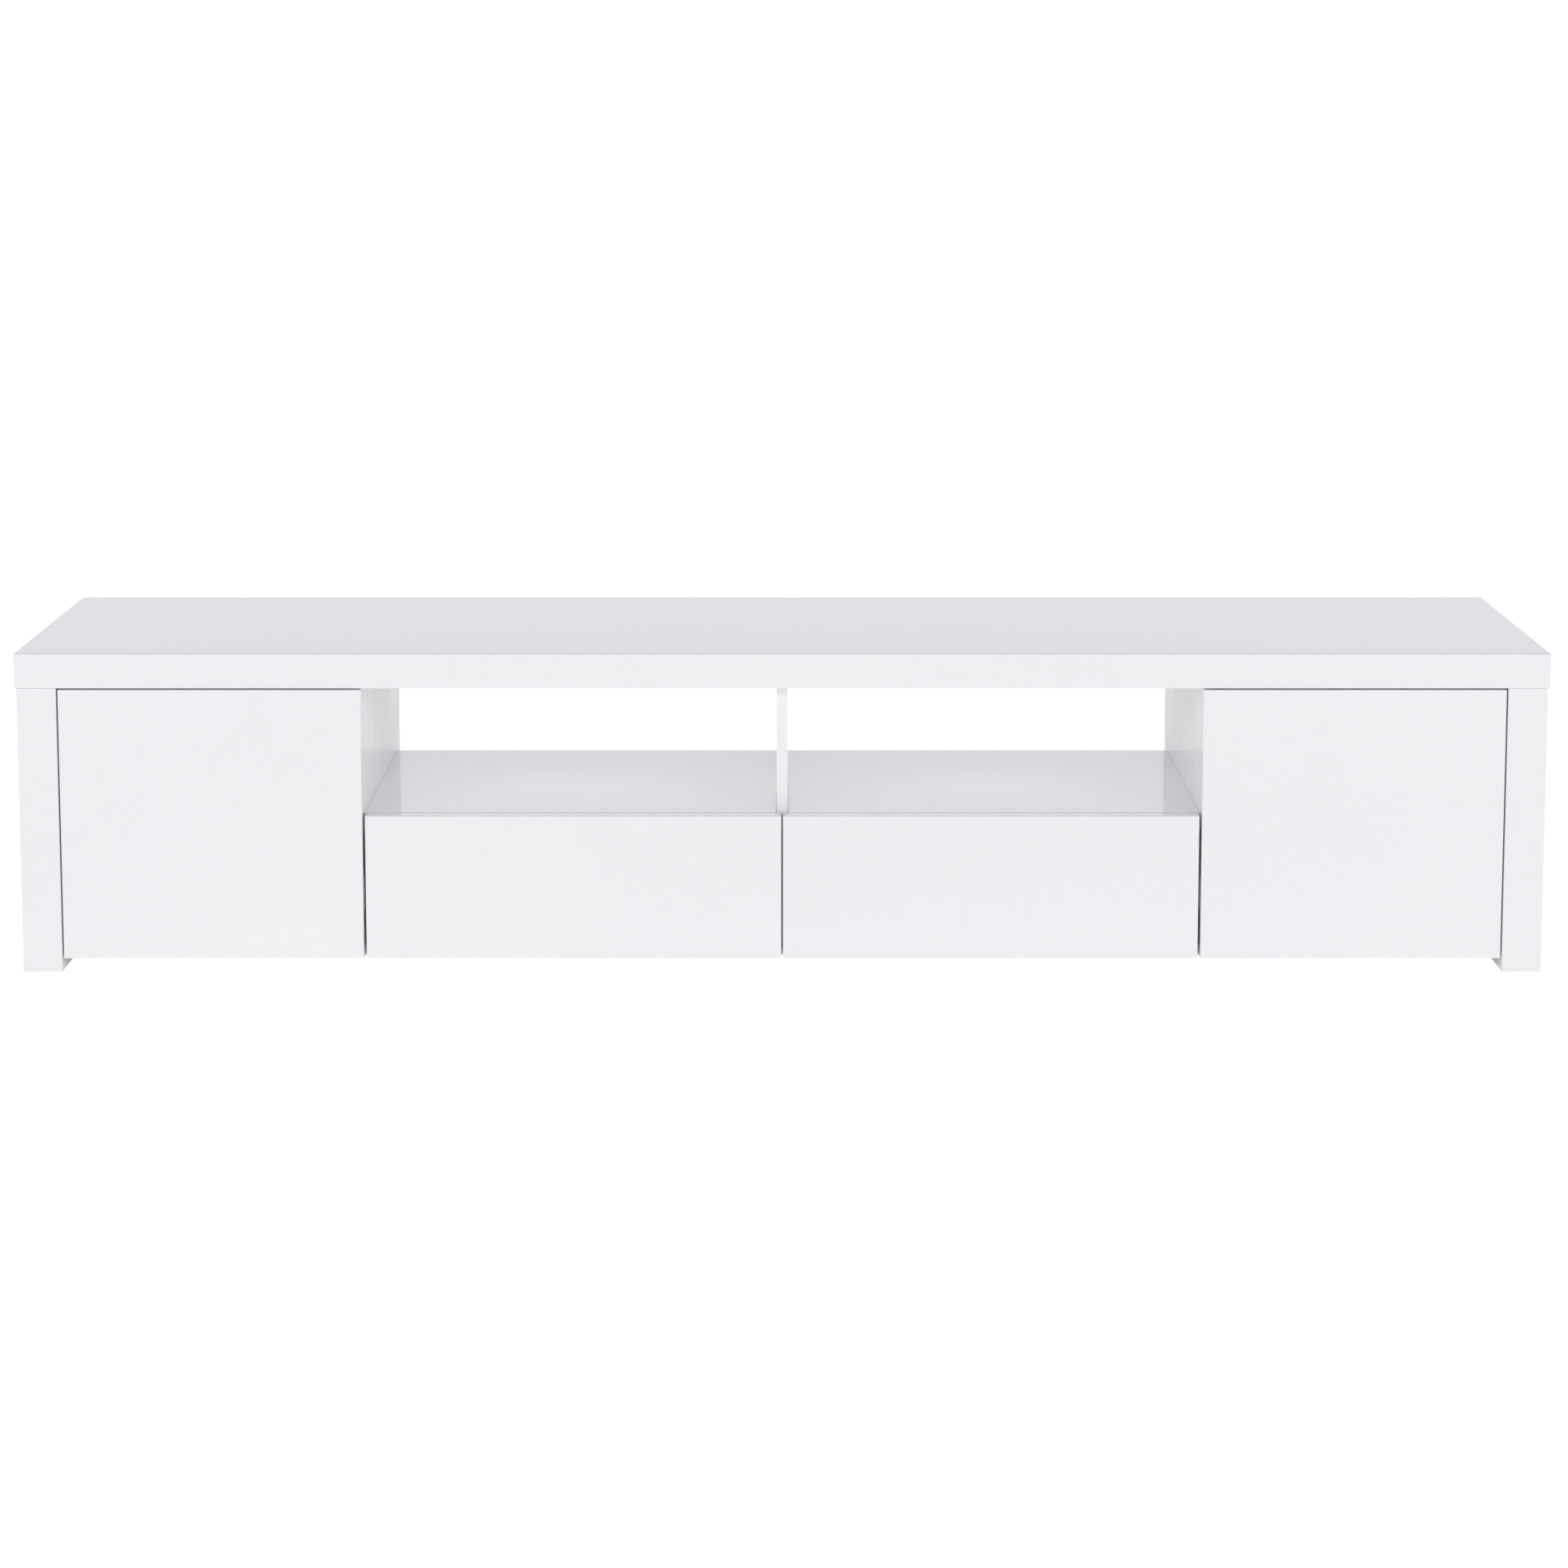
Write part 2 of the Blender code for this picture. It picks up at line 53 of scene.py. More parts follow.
# camera, light and floor
cameraSettings = {
    "place": (0.0, -4.108, 1.231),
    "tiltDown": 6.16,  # degrees
    "lens": 70.17,
    "sensor": 36.0,
    "shift": (0.0012, -0.27),
}
lightSettings = {
    "horizon": (1.135, 1.155, 1.185),
    "overhead": (0.2, 0.21, 0.225),
    "climb": (0.32, 0.66),  # how steeply the room darkens towards its ceiling
    # one softbox on each side, in front; the left one mirrors the right one
    "softbox": {
        "place": (3.6, -3.7, 2.8),
        "size": (1.8, 1.2),
        "power": 32.5,
        "colour": (1.0, 0.985, 0.975),
        "aim": (0.0, 0.0, 0.25),
    },
}
floorSettings = {
    "size": 400.0,
    "colour": (0.93, 0.93, 0.935),
    "glow": 0.43,
    "paintedShadowGlow": 0.03,  # painted shadow: the floor glows this little under the stand
    "seenGlow": 1.0,  # looked at directly, the floor is plain white
    "paintedShadowHalf": (1.0, 0.2),  # half the stand's length and depth, the outline of the painted shadow
    "paintedShadowFade": (-0.08, 0.03),  # the painted shadow fades out between these distances past its edge
    "cloud": {"scale": 0.8, "detail": 3.0},
    "mottle": 0.99,
    "shader": {"Roughness": 0.6, "Specular IOR Level": 0.2},
}


def makeCamera(settings):
    data = bpy.data.cameras.new("camera")
    camera = bpy.data.objects.new("camera", data)
    bpy.context.scene.collection.objects.link(camera)
    camera.location = settings["place"]
    camera.rotation_euler = (math.radians(90.0 - settings["tiltDown"]), 0.0, 0.0)
    data.lens = settings["lens"]
    data.sensor_width = settings["sensor"]
    data.shift_x, data.shift_y = settings["shift"]
    bpy.context.scene.camera = camera


def aimedRotation(place, target):
    # a lamp shines along its own -Z
    direction = Vector(target) - Vector(place)
    return direction.to_track_quat("-Z", "Y").to_euler()


def makeLight(settings):
    scene = bpy.context.scene
    scene.view_settings.view_transform = "Standard"
    world = bpy.data.worlds.new("room")
    world.use_nodes = True
    tree = world.node_tree
    direction = tree.nodes.new("ShaderNodeTexCoord").outputs["Generated"]
    parts = tree.nodes.new("ShaderNodeSeparateXYZ")
    tree.links.new(direction, parts.inputs[0])
    climb = tree.nodes.new("ShaderNodeMapRange")
    for socket, level in zip(("From Min", "From Max"), settings["climb"]):
        climb.inputs[socket].default_value = level
    tree.links.new(parts.outputs["Z"], climb.inputs["Value"])
    mix = tree.nodes.new("ShaderNodeMix")
    mix.data_type = "RGBA"
    mix.inputs[mixFirst].default_value = (*settings["horizon"], 1.0)
    mix.inputs[mixSecond].default_value = (*settings["overhead"], 1.0)
    tree.links.new(climb.outputs["Result"], mix.inputs[0])
    tree.links.new(mix.outputs[mixResult], tree.nodes["Background"].inputs["Color"])
    scene.world = world
    softbox = settings["softbox"]
    for name, side in sides.items():
        data = bpy.data.lights.new(f"{name}_softbox", "AREA")
        data.shape = "RECTANGLE"
        data.size, data.size_y = softbox["size"]
        data.energy = softbox["power"]
        data.color = softbox["colour"]
        lamp = bpy.data.objects.new(f"{name}_softbox", data)
        scene.collection.objects.link(lamp)
        lamp.location = (side * softbox["place"][0], *softbox["place"][1:])
        lamp.rotation_euler = aimedRotation(lamp.location, softbox["aim"])


# materials, with every pattern on Object coordinates in metres
class Finish:
    # a Principled material and short ways to add noise to it
    def __init__(self, name, settings):
        self.material = bpy.data.materials.new(name)
        self.material.use_nodes = True
        self.tree = self.material.node_tree
        self.shader = self.tree.nodes["Principled BSDF"]
        self.place = self.tree.nodes.new("ShaderNodeTexCoord").outputs["Object"]
        for socket, value in settings.items():
            self.shader.inputs[socket].default_value = value

    def node(self, kind, settings=None, links=None):
        made = self.tree.nodes.new(kind)
        for key, value in (settings or {}).items():
            if key in made.inputs:
                made.inputs[key].default_value = value
            else:
                setattr(made, key, value)
        for key, source in (links or {}).items():
            self.tree.links.new(source, made.inputs[key])
        return made

    def noise(self, scale, detail, stretch=None, roughness=0.5):
        source = self.place
        if stretch:
            mapping = self.node("ShaderNodeMapping", {"Scale": stretch}, {"Vector": source})
            source = mapping.outputs[0]
        settings = {"Scale": scale, "Detail": detail, "Roughness": roughness}
        return self.node("ShaderNodeTexNoise", settings, {"Vector": source}).outputs["Fac"]

    def ranged(self, source, low, high, fromLow=0.3, fromHigh=0.7):
        settings = {"From Min": fromLow, "From Max": fromHigh, "To Min": low, "To Max": high}
        return self.node("ShaderNodeMapRange", settings, {"Value": source}).outputs["Result"]

    def between(self, source, first, second):
        # colour from first to second as the source goes from 0 to 1
        mix = self.node("ShaderNodeMix", {"data_type": "RGBA"})
        mix.inputs[mixFirst].default_value = (*first, 1.0)
        mix.inputs[mixSecond].default_value = (*second, 1.0)
        self.tree.links.new(source, mix.inputs[0])
        return mix.outputs[mixResult]

    def colour(self, source):
        self.tree.links.new(source, self.shader.inputs["Base Color"])

    def shaded(self, source, settings):
        # from the light colour to the deep one
        share = self.ranged(source, 0.0, 1.0)
        self.colour(self.between(share, settings["light"], settings["deep"]))

    def polished(self, source, limits):
        self.tree.links.new(self.ranged(source, *limits), self.shader.inputs["Roughness"])

    def bump(self, source, strength, distance, after=None):
        settings = {"Strength": strength, "Distance": distance}
        made = self.node("ShaderNodeBump", settings, {"Height": source})
        if after:
            self.tree.links.new(after, made.inputs["Normal"])
        self.tree.links.new(made.outputs["Normal"], self.shader.inputs["Normal"])
        return made.outputs["Normal"]


lacquerSettings = {
    "light": (0.88, 0.868, 0.876),
    "deep": (0.868, 0.857, 0.868),
    "cloud": {"scale": 2.2, "detail": 4.0},
    "rubbing": {"scale": 9.0, "detail": 5.0, "stretch": (1.0, 2.0, 0.4)},
    "polish": (0.035, 0.06),  # roughness
    "peel": {"scale": 170.0, "detail": 2.0},
    "peelRelief": (0.02, 0.0002),  # strength and distance
    "shader": {"IOR": 1.5, "Coat Weight": 0.25, "Coat Roughness": 0.03, "Coat IOR": 1.5},
}
satinSettings = {
    **lacquerSettings,
    "polish": (0.18, 0.24),  # the niche's upright boards are flatted, not polished
    "peel": {"scale": 260.0, "detail": 2.0},
    "peelRelief": (0.05, 0.0002),
    "shader": {"IOR": 1.52},
}


def sprayedLacquer(name, settings):
    # sprayed and polished lacquer: a faint cloudiness, hand-polish marks and orange peel
    made = Finish(name, settings["shader"])
    made.shaded(made.noise(**settings["cloud"]), settings)
    made.polished(made.noise(**settings["rubbing"]), settings["polish"])
    made.bump(made.noise(**settings["peel"]), *settings["peelRelief"])
    return made.material


melamineSettings = {
    "light": (0.80, 0.80, 0.805),
    "deep": (0.765, 0.767, 0.775),
    "mottle": {"scale": 160.0, "detail": 6.0, "roughness": 0.7},
    "film": {"scale": 24.0, "detail": 4.0},
    "satin": (0.30, 0.42),
    "pearl": {"scale": 620.0, "detail": 2.0},
    "pearlRelief": (0.12, 0.0002),
    "shader": {"IOR": 1.48},
}


def melamineBoard(settings):
    # resin-faced board: a pearl pressed into the film and a faint paper mottle
    made = Finish("melamine", settings["shader"])
    made.shaded(made.noise(**settings["mottle"]), settings)
    made.polished(made.noise(**settings["film"]), settings["satin"])
    made.bump(made.noise(**settings["pearl"]), *settings["pearlRelief"])
    return made.material


hardboardSettings = {
    "light": (0.78, 0.778, 0.775),
    "deep": (0.715, 0.71, 0.70),
    "fibre": {"scale": 240.0, "detail": 8.0, "stretch": (1.0, 1.0, 0.35), "roughness": 0.75},
    "fibreRelief": (0.25, 0.0004),
    "paint": {"scale": 40.0, "detail": 5.0},
    "matt": (0.5, 0.68),
    "weave": {"scale": 900.0, "detail": 3.0},
    "weaveRelief": (0.35, 0.0004),
    "shader": {"IOR": 1.45},
}


def hardboardSheet(settings):
    # painted fibreboard: soft fibres lying in all directions, under thin paint
    made = Finish("hardboard", settings["shader"])
    fibre = made.noise(**settings["fibre"])
    made.shaded(fibre, settings)
    made.polished(made.noise(**settings["paint"]), settings["matt"])
    rough = made.bump(fibre, *settings["fibreRelief"])
    made.bump(made.noise(**settings["weave"]), *settings["weaveRelief"], rough)
    return made.material


metalSettings = {
    "cloud": {"scale": 90.0, "detail": 5.0},
    "lines": {"scale": 900.0, "detail": 3.0},
    "lineRelief": (0.12, 0.0001),
    "nickel": {
        "light": (0.70, 0.685, 0.66),
        "deep": (0.60, 0.585, 0.56),
        "polish": (0.16, 0.30),
        "stretch": (1.0, 0.08, 1.0),
    },
    "zinc": {
        "light": (0.63, 0.65, 0.67),
        "deep": (0.50, 0.52, 0.55),
        "polish": (0.26, 0.44),
        "stretch": (1.0, 0.04, 1.0),
    },
    "screw": {
        "light": (0.66, 0.65, 0.62),
        "deep": (0.52, 0.51, 0.48),
        "polish": (0.2, 0.36),
        "stretch": (1.0, 1.0, 1.0),
    },
    "shader": {"Metallic": 1.0},
}


def platedMetal(name, settings, plating):
    # plated pressed steel: drawing lines along the piece and a cloudy plating
    made, tone = Finish(name, settings["shader"]), settings[plating]
    made.shaded(made.noise(**settings["cloud"]), tone)
    lines = made.noise(**settings["lines"], stretch=tone["stretch"])
    made.polished(lines, tone["polish"])
    made.bump(lines, *settings["lineRelief"])
    return made.material


plasticSettings = {
    "flow": {"scale": 60.0, "detail": 4.0, "stretch": (1.0, 0.4, 1.0)},
    "wear": {"scale": 300.0, "detail": 4.0},
    "spark": {"scale": 1500.0, "detail": 2.0},
    "sparkRelief": (0.2, 0.0001),
    "shader": {"IOR": 1.46},
    "latch": {"light": (0.70, 0.705, 0.71), "deep": (0.655, 0.66, 0.668), "matt": (0.34, 0.5)},
    "plunger": {"light": (0.27, 0.275, 0.285), "deep": (0.22, 0.225, 0.235), "matt": (0.36, 0.52)},
    "tip": {"light": (0.06, 0.06, 0.062), "deep": (0.045, 0.045, 0.047), "matt": (0.6, 0.8)},
    "cap": {"light": (0.79, 0.79, 0.785), "deep": (0.75, 0.75, 0.748), "matt": (0.3, 0.42)},
}


def mouldedPlastic(name, settings, plastic):
    # spark-eroded mould texture with slight colour flow
    made = Finish(name, settings["shader"])
    made.shaded(made.noise(**settings["flow"]), settings[plastic])
    made.polished(made.noise(**settings["wear"]), settings[plastic]["matt"])
    made.bump(made.noise(**settings["spark"]), *settings["sparkRelief"])
    return made.material


def floorFinish(settings):
    # the glow outside the stand's outline, dimmed under it as a painted shadow, by the larger of
    # the distances past it in X and Y
    made = Finish("floor_white", settings["shader"])
    made.shader.inputs["Emission Color"].default_value = (1.0, 1.0, 1.0, 1.0)
    parts = made.node("ShaderNodeSeparateXYZ", None, {"Vector": made.place}).outputs
    beyond = []
    for axis, half in zip("XY", settings["paintedShadowHalf"]):
        distance = made.node("ShaderNodeMath", {"operation": "ABSOLUTE"}, {0: parts[axis]})
        past = made.node("ShaderNodeMath", {"operation": "SUBTRACT"}, {0: distance.outputs[0]})
        past.inputs[1].default_value = half
        beyond.append(past.outputs[0])
    farther = made.node("ShaderNodeMath", {"operation": "MAXIMUM"}, {0: beyond[0], 1: beyond[1]})
    # painted shadow: the glow falls to its low level under the stand's outline and rises past its
    # edge
    limits = (settings["paintedShadowGlow"], settings["glow"], *settings["paintedShadowFade"])
    glow = made.ranged(farther.outputs[0], *limits)
    direct = made.node("ShaderNodeLightPath").outputs["Is Camera Ray"]
    shown = made.node("ShaderNodeMix", None, {"Factor": direct, "A": glow})
    shown.inputs["B"].default_value = settings["seenGlow"]
    made.tree.links.new(shown.outputs["Result"], made.shader.inputs["Emission Strength"])
    pale = settings["colour"]
    slightly = tuple(settings["mottle"] * channel for channel in pale)
    made.colour(made.between(made.noise(**settings["cloud"]), pale, slightly))
    return made.material


def makeFloor(settings):
    half = settings["size"] / 2
    mesh = bpy.data.meshes.new("floor")
    corners = [(-half, -half, 0), (half, -half, 0), (half, half, 0), (-half, half, 0)]
    mesh.from_pydata(corners, [], [(0, 1, 2, 3)])
    floor = bpy.data.objects.new("floor", mesh)
    bpy.context.scene.collection.objects.link(floor)
    floor.data.materials.append(floorFinish(settings))


# shapes: each is a pair (points, faces), the points one array of rows
def loft(rings, caps=True):
    # rings is an array (ring, point round it, xyz): each cell of that grid is one face,
    # and the first and last rings are closed by a flat face
    rows, cols = rings.shape[:2]
    row, col = np.meshgrid(np.arange(rows - 1), np.arange(cols), indexing="ij")
    after = (col + 1) % cols
    cells = [row * cols + col, row * cols + after, (row + 1) * cols + after, (row + 1) * cols + col]
    faces = np.stack(cells, -1).reshape(-1, 4).tolist()
    if caps:
        faces.append(list(range(cols))[::-1])
        faces.append(list(range((rows - 1) * cols, rows * cols)))
    return rings.reshape(-1, 3), faces


def roundedBox(low, high, radius, steps=3):
    # every point is a corner of the box drawn in by the radius, plus that radius along
    # (cos a cos b, sin a cos b, sin b), a going round the box and b from its foot to its top
    low, high = np.array(low), np.array(high)
    radius = min(radius, 0.49 * float((high - low).min()))
    quarter = np.linspace(0.0, math.pi / 2, steps + 1)
    turn = (quarter[None, :] + np.arange(4)[:, None] * math.pi / 2).reshape(-1)
    side = np.repeat(np.array([[1, 1], [0, 1], [0, 0], [1, 0]]), steps + 1, axis=0)
    rise = np.concatenate([-quarter[::-1], quarter])
    upper = np.repeat([0, 1], steps + 1)
    inner, outer = low + radius, high - radius
    flat = inner[:2] + side * (outer - inner)[:2]
    rings = np.empty((len(rise), len(turn), 3))
    rings[..., 0] = flat[None, :, 0] + radius * np.cos(rise)[:, None] * np.cos(turn)[None, :]
    rings[..., 1] = flat[None, :, 1] + radius * np.cos(rise)[:, None] * np.sin(turn)[None, :]
    rings[..., 2] = (inner[2] + upper * (outer - inner)[2] + radius * np.sin(rise))[:, None]
    return loft(rings)


def turned(profile, sides=32):
    # a profile of (radius, height) turned about Z: (r cos a, r sin a, h)
    profile = np.array(profile, float)
    angle = np.arange(sides) * 2 * math.pi / sides
    rings = np.empty((len(profile), sides, 3))
    rings[..., 0] = profile[:, 0][:, None] * np.cos(angle)[None, :]
    rings[..., 1] = profile[:, 0][:, None] * np.sin(angle)[None, :]
    rings[..., 2] = profile[:, 1][:, None]
    return loft(rings, caps=False)


def domedRod(radius, start, end, edge, sides=24):
    # a rod from start to end, its ends rounded by a quarter circle of radius edge
    steps = 3
    quarter = np.linspace(0.0, math.pi / 2, steps + 1)
    low = [(radius - edge + edge * math.sin(a), start + edge - edge * math.cos(a)) for a in quarter]
    high = [(radius - edge + edge * math.cos(a), end - edge + edge * math.sin(a)) for a in quarter]
    return turned([(0.0, start), *low, *high, (0.0, end)], sides)


headSettings = {
    "rings": (1.0, 0.92, 0.8, 0.62, 0.5, 0.34, 0.2, 0.1, 0.0),  # shares of the radius
    "sides": 32,
    "fall": 0.35,  # share of the height lost at the rim
    "slot": {"half": 0.13, "reach": 0.63, "depth": 0.55},
}


def crossHead(radius, height):
    # a pan head with a cross recess: on a polar grid, the level is h (1 - fall (r / R)^4),
    # and inside the cross |x| < w or |y| < w it drops by the recess
    settings = headSettings
    slot, count = settings["slot"], settings["sides"]
    ring = np.array(settings["rings"]) * radius
    angle = np.arange(count) * 2 * math.pi / count
    x = ring[:, None] * np.cos(angle)[None, :]
    y = ring[:, None] * np.sin(angle)[None, :]
    dome = height * (1.0 - settings["fall"] * (ring / radius) ** 4)[:, None] * np.ones_like(x)
    narrow = np.minimum(abs(x), abs(y)) < slot["half"] * radius
    near = (ring < slot["reach"] * radius)[:, None]
    z = np.where(narrow & near, dome - slot["depth"] * height, dome)
    rings = np.stack([x, y, z], -1)
    foot = rings[:1].copy()
    foot[..., 2] = 0.0
    centre = np.zeros_like(foot)
    return loft(np.concatenate([centre, foot, rings]), caps=False)


def stadiumPlate(halfWidth, halfLength, thick, edge):
    # a plate with round ends: its outline is a rectangle whose corner radius is half its width
    count = 8  # points on a quarter circle
    quarter = np.linspace(0.0, math.pi / 2, count)
    turn = (quarter[None, :] + np.arange(4)[:, None] * math.pi / 2).reshape(-1)
    signs = np.repeat([1.0, 1.0, -1.0, -1.0], count)
    rings = []
    for inset, level in ((edge, 0.0), (0.0, edge), (0.0, thick - edge), (edge, thick)):
        reach = halfWidth - inset
        x = reach * np.cos(turn)
        y = reach * np.sin(turn) + signs * (halfLength - halfWidth)
        rings.append(np.stack([x, y, np.full_like(x, level)], -1))
    return loft(np.array(rings))


def sweptStrip(path, normals, thick, height, edge):
    # a strip of rounded section carried along a path in the XY plane: each section point is
    # path + n * across + z * up, with n square to the path
    steps = 3
    quarter = np.linspace(0.0, math.pi / 2, steps + 1)
    turn = (quarter[None, :] + np.arange(4)[:, None] * math.pi / 2).reshape(-1)
    signX = np.repeat([1.0, -1.0, -1.0, 1.0], steps + 1)
    signY = np.repeat([1.0, 1.0, -1.0, -1.0], steps + 1)
    across = signX * (thick / 2 - edge) + edge * np.cos(turn)
    up = signY * (height / 2 - edge) + edge * np.sin(turn)
    rings = np.zeros((len(path), len(turn), 3))
    rings[..., :2] = path[:, None, :] + normals[:, None, :] * across[None, :, None]
    rings[..., 2] = up[None, :]
    return loft(rings)


def moved(shape, offset=(0, 0, 0), axes=None, scale=(1, 1, 1)):
    # axes gives the directions that the shape's own X, Y and Z take
    points = shape[0] * np.array(scale)
    if axes is not None:
        points = points @ np.array(axes, float)
    return points + np.array(offset), shape[1]


meshSettings = {"merge": 1e-6, "tiny": 1e-7, "sharpAngle": 38.0}


def fillMesh(mesh, points, faces):
    # merged and closed, with every face outwards
    mesh.from_pydata(points.tolist(), [], faces)
    work = bmesh.new()
    work.from_mesh(mesh)
    bmesh.ops.remove_doubles(work, verts=work.verts, dist=meshSettings["merge"])
    bmesh.ops.dissolve_degenerate(work, edges=work.edges, dist=meshSettings["tiny"])
    bmesh.ops.recalc_face_normals(work, faces=work.faces)
    work.to_mesh(mesh)
    work.free()


def smoothMesh(mesh):
    mesh.shade_smooth()
    mesh.set_sharp_from_angle(angle=math.radians(meshSettings["sharpAngle"]))


def makePiece(name, shapes, material, body, standsFor=()):
    points, faces, count = [], [], 0
    for shapePoints, shapeFaces in shapes:
        points.append(shapePoints)
        faces.extend([[index + count for index in face] for face in shapeFaces])
        count += len(shapePoints)
    mesh = bpy.data.meshes.new(name)
    fillMesh(mesh, np.concatenate(points), faces)
    smoothMesh(mesh)
    piece = bpy.data.objects.new(name, mesh)
    bpy.context.scene.collection.objects.link(piece)
    mesh.materials.append(material)
    weighted = piece.modifiers.new("flat_faces_stay_flat", "WEIGHTED_NORMAL")
    weighted.keep_sharp = True
    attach(piece, body)
    if standsFor:
        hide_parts(*standsFor)
    return piece


def corners(node):
    low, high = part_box(node)
    return np.array(low), np.array(high)


# panels
panelSettings = {
    "lacquerEdge": 1.2 * mm,
    "boardEdge": 0.7 * mm,
    "sheetEdge": 0.4 * mm,
    "uprightEdge": 0.5 * mm,
    "rearSink": 0.6 * mm,  # room for the nails' heads
    "groove": {
        "half": 7.8 * mm,
        "depth": 3.0 * mm,
        "edge": 0.4 * mm,
        "edgeSteps": 3,
        "reach": 0.3 * mm,
    },
}


def makeBoard(node, material, body, edge):
    board = roundedBox(*corners(node), edge)
    makePiece(node + "_board", [board], material, body, [node])


def makeNicheShelf(settings, finishes):
    # the outline in X and Z, with the divider's groove in its top, is carried along Y; its
    # ends reach the partitions
    groove = settings["groove"]
    low, high = corners("niche_shelf")
    low[0] -= groove["reach"]
    high[0] += groove["reach"]
    floorZ, half = high[2] - groove["depth"], groove["half"]
    outline = np.array(
        [
            (low[0], low[2]),
            (high[0], low[2]),
            (high[0], high[2]),
            (half, high[2]),
            (half, floorZ),
            (-half, floorZ),
            (-half, high[2]),
            (low[0], high[2]),
        ]
    )
    along = np.array([low[1], high[1]])
    rings = np.empty((2, len(outline), 3))
    rings[..., 0] = outline[None, :, 0]
    rings[..., 1] = along[:, None]
    rings[..., 2] = outline[None, :, 1]
    name, shape = "niche_shelf_board", loft(rings)
    material = finishes["lacquer"]
    shelf = makePiece(name, [shape], material, "cabinet", ["niche_shelf"])
    bevel = shelf.modifiers.new("rubbed_edges", "BEVEL")
    bevel.width = groove["edge"]
    bevel.segments = groove["edgeSteps"]
    bevel.limit_method = "ANGLE"
    bevel.harden_normals = True
    shelf.modifiers.move(1, 0)


def makePanels(settings, finishes):
    lacquered, uprights = ["top_slab"], ["niche_divider"]
    boards = ["bottom_panel", "drawer_divider"]
    for name in sides:
        lacquered.append(f"{name}_side_panel")
        uprights.append(f"{name}_partition")
        boards.append(f"{name}_inner_shelf")
    for node in lacquered:
        makeBoard(node, finishes["lacquer"], "cabinet", settings["lacquerEdge"])
    for node in uprights:
        makeBoard(node, finishes["satin"], "cabinet", settings["uprightEdge"])
    for node in boards:
        makeBoard(node, finishes["melamine"], "cabinet", settings["boardEdge"])
    makeNicheShelf(settings, finishes)
    sheet, edge = finishes["hardboard"], settings["sheetEdge"]
    makeBoard("drawer_bay_back", sheet, "cabinet", edge)
    for name in sides:
        node = f"{name}_bay_back"
        low, high = corners(node)
        high[1] -= settings["rearSink"]
        shape = roundedBox(low, high, edge)
        makePiece(node + "_sheet", [shape], sheet, "cabinet", [node])
    print("panels made")


# drawers
def makeDrawers(settings, finishes):
    gloss, board, sheet = finishes["lacquer"], finishes["melamine"], finishes["hardboard"]
    for name in sides:
        body = f"{name}_drawer"
        makeBoard(body + "_front", gloss, body, settings["lacquerEdge"])
        for part in ("outer_side", "inner_side", "rear"):
            makeBoard(f"{body}_{part}", board, body, settings["boardEdge"])
        makeBoard(body + "_bottom", sheet, body, settings["sheetEdge"])
    print("drawers made")


# hinges, with places measured from the door's outer front corner
hingeSettings = {
    "levels": ("lower", "upper"),
    "cupFromEdge": 21.5 * mm,
    "pinFromEdge": 10.0 * mm,
    "pinFromFront": 9.0 * mm,
    "wallGap": 2.0 * mm,
    "pin": {"radius": 1.5 * mm, "half": 11.4 * mm, "edge": 0.4 * mm},
    "hole": {"radius": 17.5 * mm, "depth": 12.5 * mm, "over": 5.0 * mm, "sides": 64},
    "cupScrew": {"radius": 3.6 * mm, "height": 1.6 * mm, "out": 1.2 * mm, "apart": 24.0 * mm},
    "armScrewHeight": 1.5 * mm,
    # in mm: depth behind the front, rise, distance from the wall, radius
    "armScrews": (
        (74.0, 17.5, 2.4, 3.4),
        (74.0, -17.5, 2.4, 3.4),
        (78.0, 0.0, 30.2, 3.0),
        (95.0, 0.0, 30.2, 3.4),
    ),
}
cupSettings = {
    # in mm: radius and height above the door's back face, up the outside, over the flange
    # and down the inside
    "profile": (
        (0.0, -12.2),
        (15.8, -12.2),
        (16.8, -11.8),
        (17.2, -10.8),
        (17.2, 0.3),
        (19.3, 0.3),
        (19.5, 0.6),
        (19.4, 1.1),
        (18.9, 1.4),
        (16.8, 1.5),
        (16.4, 1.3),
        (16.3, 0.8),
        (16.3, -10.2),
        (15.9, -10.9),
        (15.0, -11.2),
        (0.0, -11.2),
    ),
    "sides": 64,
    "tab": {"halfWidth": 7.0 * mm, "halfLength": 7.6 * mm, "thick": 1.0 * mm, "edge": 0.3 * mm},
    "tabOut": 22.6 * mm,
    "tabUp": 0.35 * mm,
}
linkSettings = {
    "start": 1.5 * mm,
    "bend": 4.0 * mm,
    "reach": 12.0 * mm,
    "end": 37.5 * mm,
    "bendPoints": 9,
    "strip": {"thick": 2.3 * mm, "height": 9.8 * mm, "edge": 0.5 * mm},
    # in mm: radius and height round the eye's section
    "eye": (
        (1.75, -4.6),
        (2.1, -4.95),
        (2.8, -4.95),
        (3.15, -4.6),
        (3.15, 4.6),
        (2.8, 4.95),
        (2.1, 4.95),
        (1.75, 4.6),
        (1.75, -4.6),
    ),
}
armSettings = {
    "along": (19.0 * mm, 104.0 * mm),
    "sections": 28,
    "lip": (21.0 * mm, 9.0 * mm),  # the open edge's distance from the wall, nose and tail
    "lift": 30.0 * mm,  # the length over which it changes
    "web": 30.4 * mm,
    "half": 7.8 * mm,
    "thick": 1.4 * mm,
    "bend": 2.2 * mm,
    "bendPoints": 5,
    # in mm: low corner, high corner, edge radius
    "spine": ((2.0, 67.0, -6.2), (29.2, 101.0, 6.2), 1.0),
    "plate": ((0.3, 62.2, -7.3), (3.0, 107.8, 7.3), 0.8),
    "wings": {"halfWidth": 7.8 * mm, "halfLength": 24.8 * mm, "thick": 2.3 * mm, "edge": 0.6 * mm},
    "wingsPlace": (0.3 * mm, 74.0 * mm, 0.0),
}


